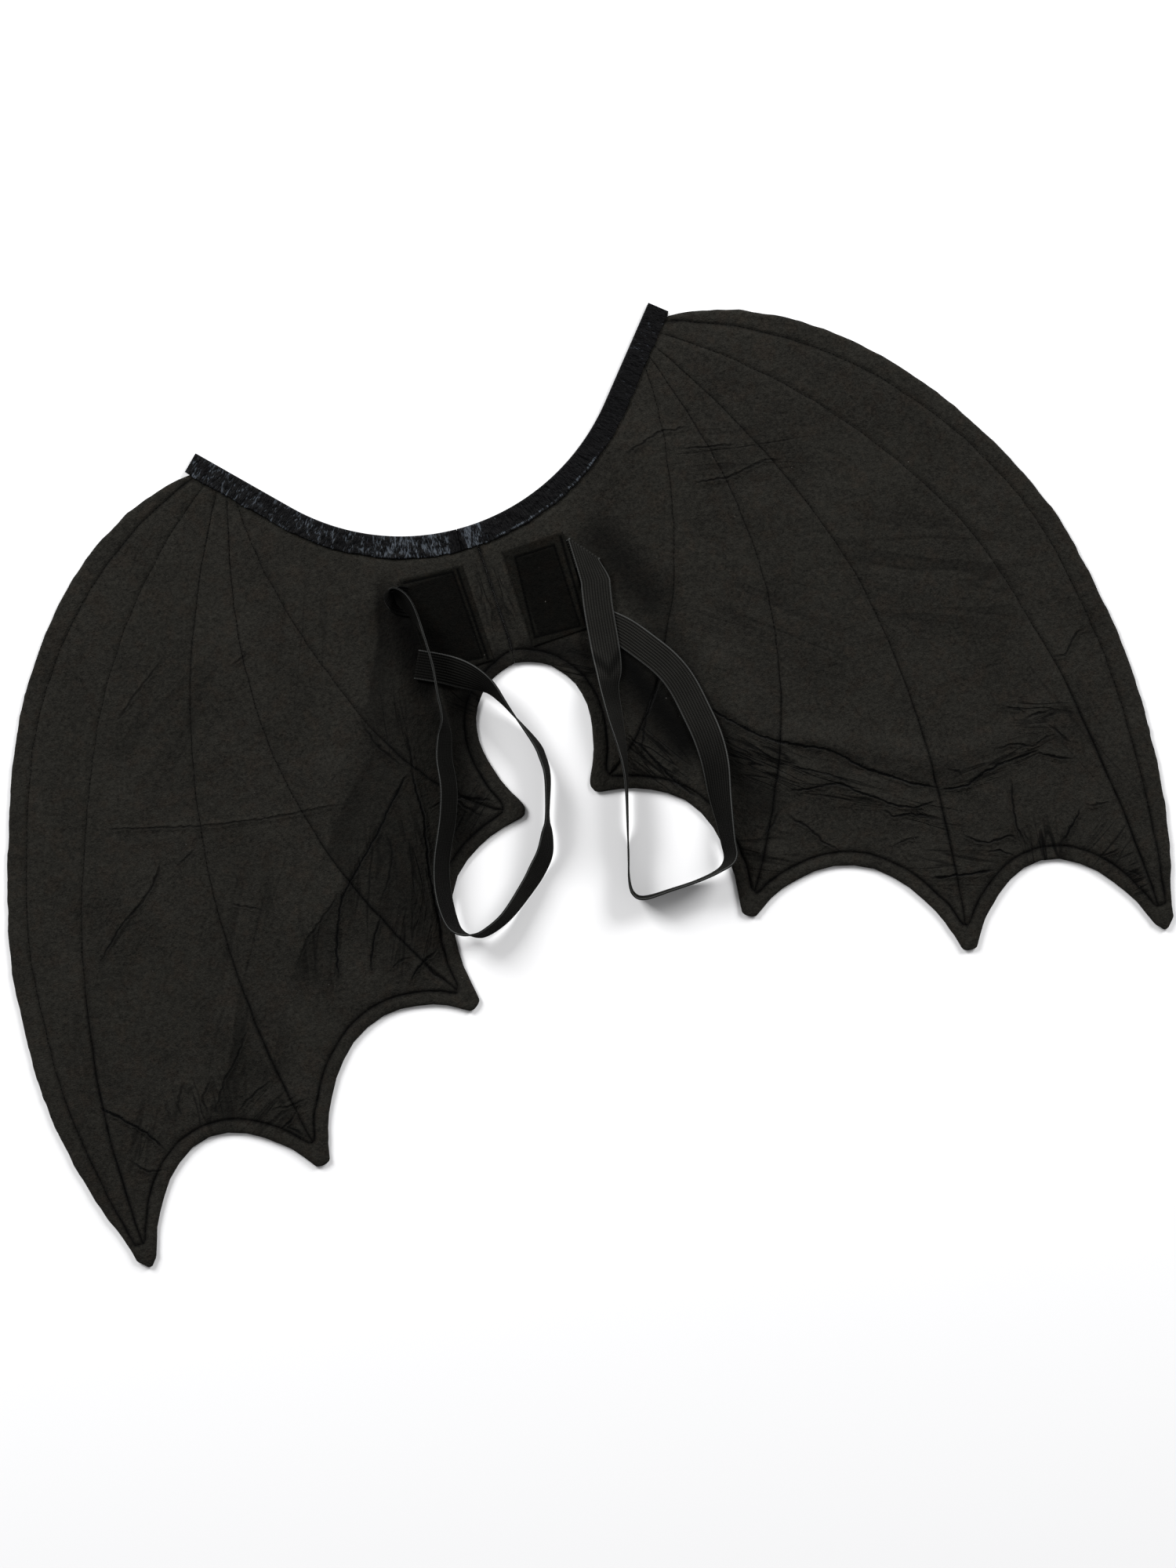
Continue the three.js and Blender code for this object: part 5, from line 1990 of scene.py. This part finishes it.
    def tucked_start(self) -> tuple[np.ndarray, np.ndarray, np.ndarray]:
        """Flat end under the patch."""
        x, y = self.wings.patch.outer - self.tuck, self.patch_top - self.seat
        rows = [[x, y, self.level + self.thick / 2]], [[0.0, -1.0, 0.0]], [[0.0, 0.0, 1.0]]
        return tuple(np.array(row) for row in rows)

    def profile(self) -> tuple[np.ndarray, np.ndarray]:
        """Outline of the band's section: places across from -0.5 to 0.5 and through from -0.5 to 0.5.

        Returns:
            The places, and the share of the width at which each lies, from 0 round to 2.
        """
        points = 6 * self.ribs
        share = np.linspace(0, 1, points + 1)
        wave = 1 - 0.34 * (0.5 + 0.5 * np.cos(math.tau * self.ribs * share)) ** 2
        ends = puffed(np.minimum(share, 1 - share) * self.width / 0.7)
        half = 0.5 * wave * lerp(0.45, 1.0, ends)
        lower = np.stack([share - 0.5, -half], axis=1)
        upper = np.stack([0.5 - share, half], axis=1)
        return np.concatenate([lower, upper]), np.concatenate([share, 2 - share])

    def build(self, placing: Placing) -> bpy.types.Object:
        """Makes the loop.

        Args:
            placing: where the pattern lies.

        Returns:
            The loop.
        """
        middle, across, through = self.stations()
        length = np.r_[0.0, np.cumsum(np.linalg.norm(np.diff(middle, axis=0), axis=1))]
        fine = np.unique(np.concatenate([
            np.linspace(a, b, self.finer + 1) for a, b in zip(length, length[1:])
        ]).round(4))
        middle, across, through = (eased(fine, length, rows) for rows in (middle, across, through))
        unit = across / np.linalg.norm(across, axis=1)[:, None]
        through -= unit * np.sum(unit * through, axis=1)[:, None]
        through /= np.linalg.norm(through, axis=1)[:, None]
        section, around = self.profile()
        beside = across[:, None] * (section[:, :1] * self.width)
        points = middle[:, None] + beside + through[:, None] * (section[:, 1:] * self.thick)
        points[..., 0] *= self.side.value
        rows, count = points.shape[:2]
        name = f"arm_loop_{self.side.label}_elastic"
        faces = tube_faces(rows, count)
        made = new_object(name, placing.place(points.reshape(-1, 3)), faces, self.side is Side.RIGHT)
        off = np.abs(section[:, 0]) * self.width
        # Painted shade along the band, from its loop's painted shadow stretches.
        shade = np.zeros((rows, count))
        for shadow in of_side(LOOP_SHADOWS, self.side):
            shade = np.maximum(shade, shadow.share(fine[:, None], off))
        set_attribute(made, "shade", shade.ravel())
        u = np.broadcast_to(around * self.width * MM, (rows, count))
        v = np.broadcast_to(fine[:, None] * MM, (rows, count))
        set_uv(made, np.stack([u, v], axis=-1).reshape(-1, 2))
        log.info("arm loop %s: %.0f mm of elastic", self.side.label, fine[-1])
        return made


PATCH_STITCHES = {
    Side.LEFT: (
        ((54.5, -22.5), (21.5, -25.5), (20.5, -86.0), (44.0, -83.0)),
        ((18.0, -25.0), (17.5, -88.0)),
    ),
    Side.RIGHT: (
        ((21.5, -29.5), (48.5, -30.0), (48.0, -86.5), (17.0, -84.5), (21.5, -29.5)),
        ((54.5, -26.0), (52.0, -87.5)),
    ),
}


# The darker cloth between the stitches: its inner and outer side and where it starts below the top edge.
PATCH_FIELDS = {Side.LEFT: (19.0, 60.0, 0.5), Side.RIGHT: (18.0, 51.0, 5.0)}


@dataclass
class Patch:
    """Cloth patch sewn over the tucked end of an arm loop."""

    wings: Wings
    loop: ArmLoop
    side: Side
    columns: int = 64
    rows: int = 96
    coarse: int = 8
    round_edge: float = 1.6
    lifted_corner: float = 4.0
    groove: float = 0.9  # half width of a row of stitches' groove
    sunk: float = 0.5  # its depth
    # The dark line along each row of stitches is painted shade in its groove.
    drawn: float = 1.35  # half width of its dark line
    fade: float = 3.0
    stitch_groove_shade: float = 0.97
    field_dark: float = 0.74
    cloth_dark: float = 0.3

    def height(self, x: np.ndarray, y: np.ndarray) -> np.ndarray:
        """Height of the patch's underside, which rises over the tucked end of the elastic.

        Args:
            x, y: places in millimetres.

        Returns:
            A height for each place.
        """
        sizes, loop = self.wings.patch, self.loop
        tuck_low = -sizes.drop - loop.seat - loop.width / 2 - 2 * self.wings.pattern.gap
        over_end = smooth((x - (sizes.outer - 2 * loop.tuck)) / (0.8 * loop.tuck))
        over_side = smooth((y - (tuck_low - 1.6 * loop.tuck)) / loop.tuck)
        return loop.level + loop.layer * over_end * over_side

    def build(self, placing: Placing) -> tuple[bpy.types.Object, list[np.ndarray]]:
        """Makes the patch and finds the routes of its stitches.

        Args:
            placing: where the pattern lies.

        Returns:
            The patch, and the route of each row.
        """
        sizes = self.wings.patch
        across, down = np.meshgrid(np.linspace(0, 1, self.columns + 1), np.linspace(0, 1, self.rows + 1))
        x = sizes.inset + sizes.width * across
        y = -sizes.drop - sizes.height * down
        if self.side is Side.LEFT:
            y = y + self.lifted_corner * across * (1 - down) ** 2
        low = self.height(x, y)
        from_side, from_end = np.minimum(across, 1 - across), np.minimum(down, 1 - down)
        from_edge = np.minimum(from_side * sizes.width, from_end * sizes.height)
        places = np.stack([x, y], axis=-1).reshape(-1, 2)
        lines = [Line(np.array(row, float)) for row in PATCH_STITCHES[self.side]]
        to_stitch = np.min([line.distance(places)[0] for line in lines], axis=0).reshape(x.shape)
        stitched = np.exp(-((to_stitch / self.groove) ** 2))
        soft = 0.16 * value_noise(x, y, 11.0, 31 + self.side.value) + 0.07 * value_noise(x, y, 4.0, 33)
        thick = sizes.thick * lerp(0.45, 1.0, puffed(from_edge / self.round_edge))
        upper = low + thick - self.sunk * stitched + soft
        top, bottom = (np.stack([self.side.value * x, y, z], axis=-1) for z in (upper, low))
        name = f"patch_{self.side.label}_cloth"
        made = new_slab(name, top, bottom, self.coarse, placing, self.side is Side.LEFT)
        set_attribute(made, "shade", self.shade(x, y, to_stitch).ravel())
        return made, self.stitch_routes(placing)

    def shade(self, x: np.ndarray, y: np.ndarray, to_stitch: np.ndarray) -> np.ndarray:
        """Share by which the patch is darker: painted shade along its stitch grooves, more over the field
        between the stitches, and a little everywhere.

        Args:
            x, y: places in millimetres.
            to_stitch: their distance from the nearest row of stitches.

        Returns:
            A share for each place.
        """
        top = -self.wings.patch.drop
        inner, outer, below = PATCH_FIELDS[self.side]
        insides = (x - inner, outer - x, top - below - y, y - top + self.wings.patch.height - self.fade)
        within = math.prod(smooth(inside / self.fade) for inside in insides)
        # Painted shade along the stitch grooves.
        drawn = np.exp(-((to_stitch / self.drawn) ** 2))
        darkest = np.maximum(self.stitch_groove_shade * drawn, self.field_dark * within)
        return np.maximum(darkest, self.cloth_dark)

    def stitch_routes(self, placing: Placing) -> list[np.ndarray]:
        """Rows of stitches that hold the patch.

        Args:
            placing: where the pattern lies.

        Returns:
            The route of each row.
        """
        made = []
        for row in PATCH_STITCHES[self.side]:
            places = Line(np.array(row, float)).at(np.linspace(0, 1, 160))
            z = self.height(places[:, 0], places[:, 1]) + self.wings.patch.thick - 0.3
            made.append(placing.place(np.column_stack([self.side.value * places[:, 0], places[:, 1], z])))
        return made


@dataclass(frozen=True)
class Finishes:
    """Materials of the pieces."""

    wing: bpy.types.Material
    patch: bpy.types.Material
    elastic: bpy.types.Material
    ribbon: bpy.types.Material
    thread: bpy.types.Material

    @classmethod
    def mixed(cls) -> "Finishes":
        """Mixes them all."""
        layers = (CREASE_LAYERS, WRINKLE_LAYERS)
        # Black that painted shade darkens the cloth and the patches towards.
        painted_shade_black = rgb(2, 2, 2)
        suede = SuedeCloth("brushed_cloth", rgb(28.7, 27.8, 24.9), rgb(30.8, 27.4, 23.5), painted_shade_black, *layers)
        patch = SuedeCloth("patch_cloth", rgb(20, 19.5, 17), rgb(23, 19, 15), painted_shade_black, gloss=0.01)
        # The elastic's second colour is the painted highlight of its edges.
        elastic = RibbedElastic("ribbed_elastic", rgb(34, 33.5, 31.5), rgb(76, 77, 76))
        # The ribbon's second colour is its painted glint.
        ribbon = CrushedRibbon("crushed_ribbon", rgb(4, 4, 5), rgb(61, 66, 72))
        thread = SewingThread("sewing_thread", rgb(3, 3, 3))
        return cls(*(finish.material() for finish in (suede, patch, elastic, ribbon, thread)))


@dataclass(frozen=True)
class Softbox:
    """Square area light aimed at the wings, in metres."""

    name: str
    azimuth: float  # degrees in the picture from its top, clockwise
    power: float
    height: float = 1.75
    away: float = 2.5
    size: float = 1.3

    def shine(self, roll: float) -> None:
        """Hangs the light, for a picture in which the wings are turned by a roll."""
        data = bpy.data.lights.new(self.name, "AREA")
        data.size, data.energy = self.size, self.power
        made = bpy.data.objects.new(self.name, data)
        angle = math.radians(90 - roll - self.azimuth)
        made.location = (self.away * math.cos(angle), self.away * math.sin(angle), self.height)
        direction = -made.location
        made.rotation_euler = direction.to_track_quat("-Z", "Y").to_euler()
        bpy.context.scene.collection.objects.link(made)


@dataclass(frozen=True)
class Studio:
    """Camera straight above, soft light and a plain pale surface."""

    picture_high: float = 1.052  # metres shown from the picture's bottom to its top
    roll: float = 18.4  # degrees that the wings are turned in the picture
    aim: tuple[float, float] = (19.7, -188.8)  # pattern's place in the middle of the picture, millimetres
    distance: float = 2.4
    sensor: float = 36.0
    floor: float = 8.0
    sky: float = 0.3
    softboxes: tuple[Softbox, ...] = (
        Softbox("left_softbox", -48.0, 104.0), Softbox("right_softbox", 44.0, 84.0),
    )

    def camera(self, placing: Placing) -> None:
        """Looks straight down at the wings."""
        data = bpy.data.cameras.new("camera")
        data.sensor_fit = "VERTICAL"
        data.sensor_height = self.sensor
        data.lens = self.sensor * self.distance / self.picture_high
        made = bpy.data.objects.new("camera", data)
        made.location = (placing.x + self.aim[0] * MM, placing.y + self.aim[1] * MM, self.distance)
        made.rotation_euler = (0.0, 0.0, -math.radians(self.roll))
        bpy.context.scene.collection.objects.link(made)
        bpy.context.scene.camera = made

    def light(self) -> None:
        """Even light from all round, with softboxes above and at both sides."""
        world = bpy.data.worlds.new("studio")
        world.use_nodes = True
        background = world.node_tree.nodes["Background"]
        background.inputs["Color"].default_value = (1, 1, 1, 1)
        background.inputs["Strength"].default_value = self.sky
        bpy.context.scene.world = world
        for softbox in self.softboxes:
            softbox.shine(self.roll)
        bpy.context.scene.view_settings.view_transform = "Standard"

    def surface(self) -> None:
        """Pale surface that the wings lie on."""
        half = self.floor / 2
        corners = np.array([[-half, -half, 0], [half, -half, 0], [half, half, 0], [-half, half, 0]])
        made = new_object("surface", corners, [[0, 1, 2, 3]])
        look = {"Base_Color": rgb(236, 236, 237), "Roughness": 0.9, "Specular_IOR_Level": 0.1}
        made.data.materials.append(Recipe("pale_surface").done(**look))
        made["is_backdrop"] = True


def dress(made: bpy.types.Object, material: bpy.types.Material, node: str | None = None) -> None:
    """Gives a piece its material and its place in the frame.

    Args:
        made: the piece.
        material: its material.
        node: the CAD node that it replaces, if it does.
    """
    made.data.materials.clear()
    made.data.materials.append(material)
    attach(made, "root")
    if node:
        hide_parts(node)
    log.info("%s: %d faces", made.name, len(made.data.polygons))


def main() -> None:
    """Builds the wings, the binding, the patches and the arm loops, then the studio."""
    logging.basicConfig(level=logging.INFO, format="%(message)s")
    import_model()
    cad_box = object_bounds()
    wings = Wings()
    wings.lay_out()
    placing = Placing.from_frame(wings.patch.drop)
    finishes = Finishes.mixed()
    binding = NeckBinding(wings.pattern, wings.binding, wings.cloth)
    for side, steps in ((Side.LEFT, LEFT_ROUTE), (Side.RIGHT, RIGHT_ROUTE)):
        wing, routes = wings.build(side, placing)
        dress(wing, finishes.wing, f"wing_{side.label}")
        ribbon = binding.build(side, placing)
        dress(ribbon, finishes.ribbon, f"neck_binding_{side.label}")
        binding.cut(side)
        loop = ArmLoop(wings, side, steps)
        dress(loop.build(placing), finishes.elastic, f"arm_loop_{side.label}")
        patch, patch_routes = Patch(wings, loop, side).build(placing)
        dress(patch, finishes.patch, f"patch_{side.label}")
        wings.patch.cut
        for part, rows in (("wing", routes), ("patch", patch_routes)):
            sewn = Stitching().sew(f"{part}_stitches_{side.label}", rows, finishes.thread)
            dress(sewn, finishes.thread)
    studio = Studio()
    studio.camera(placing)
    studio.light()
    studio.surface()
    boxes = {"cad": cad_box, "visual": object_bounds()}
    {name: [list(corner) for corner in box] for name, box in boxes.items()}


if __name__ == "__main__":
    main()
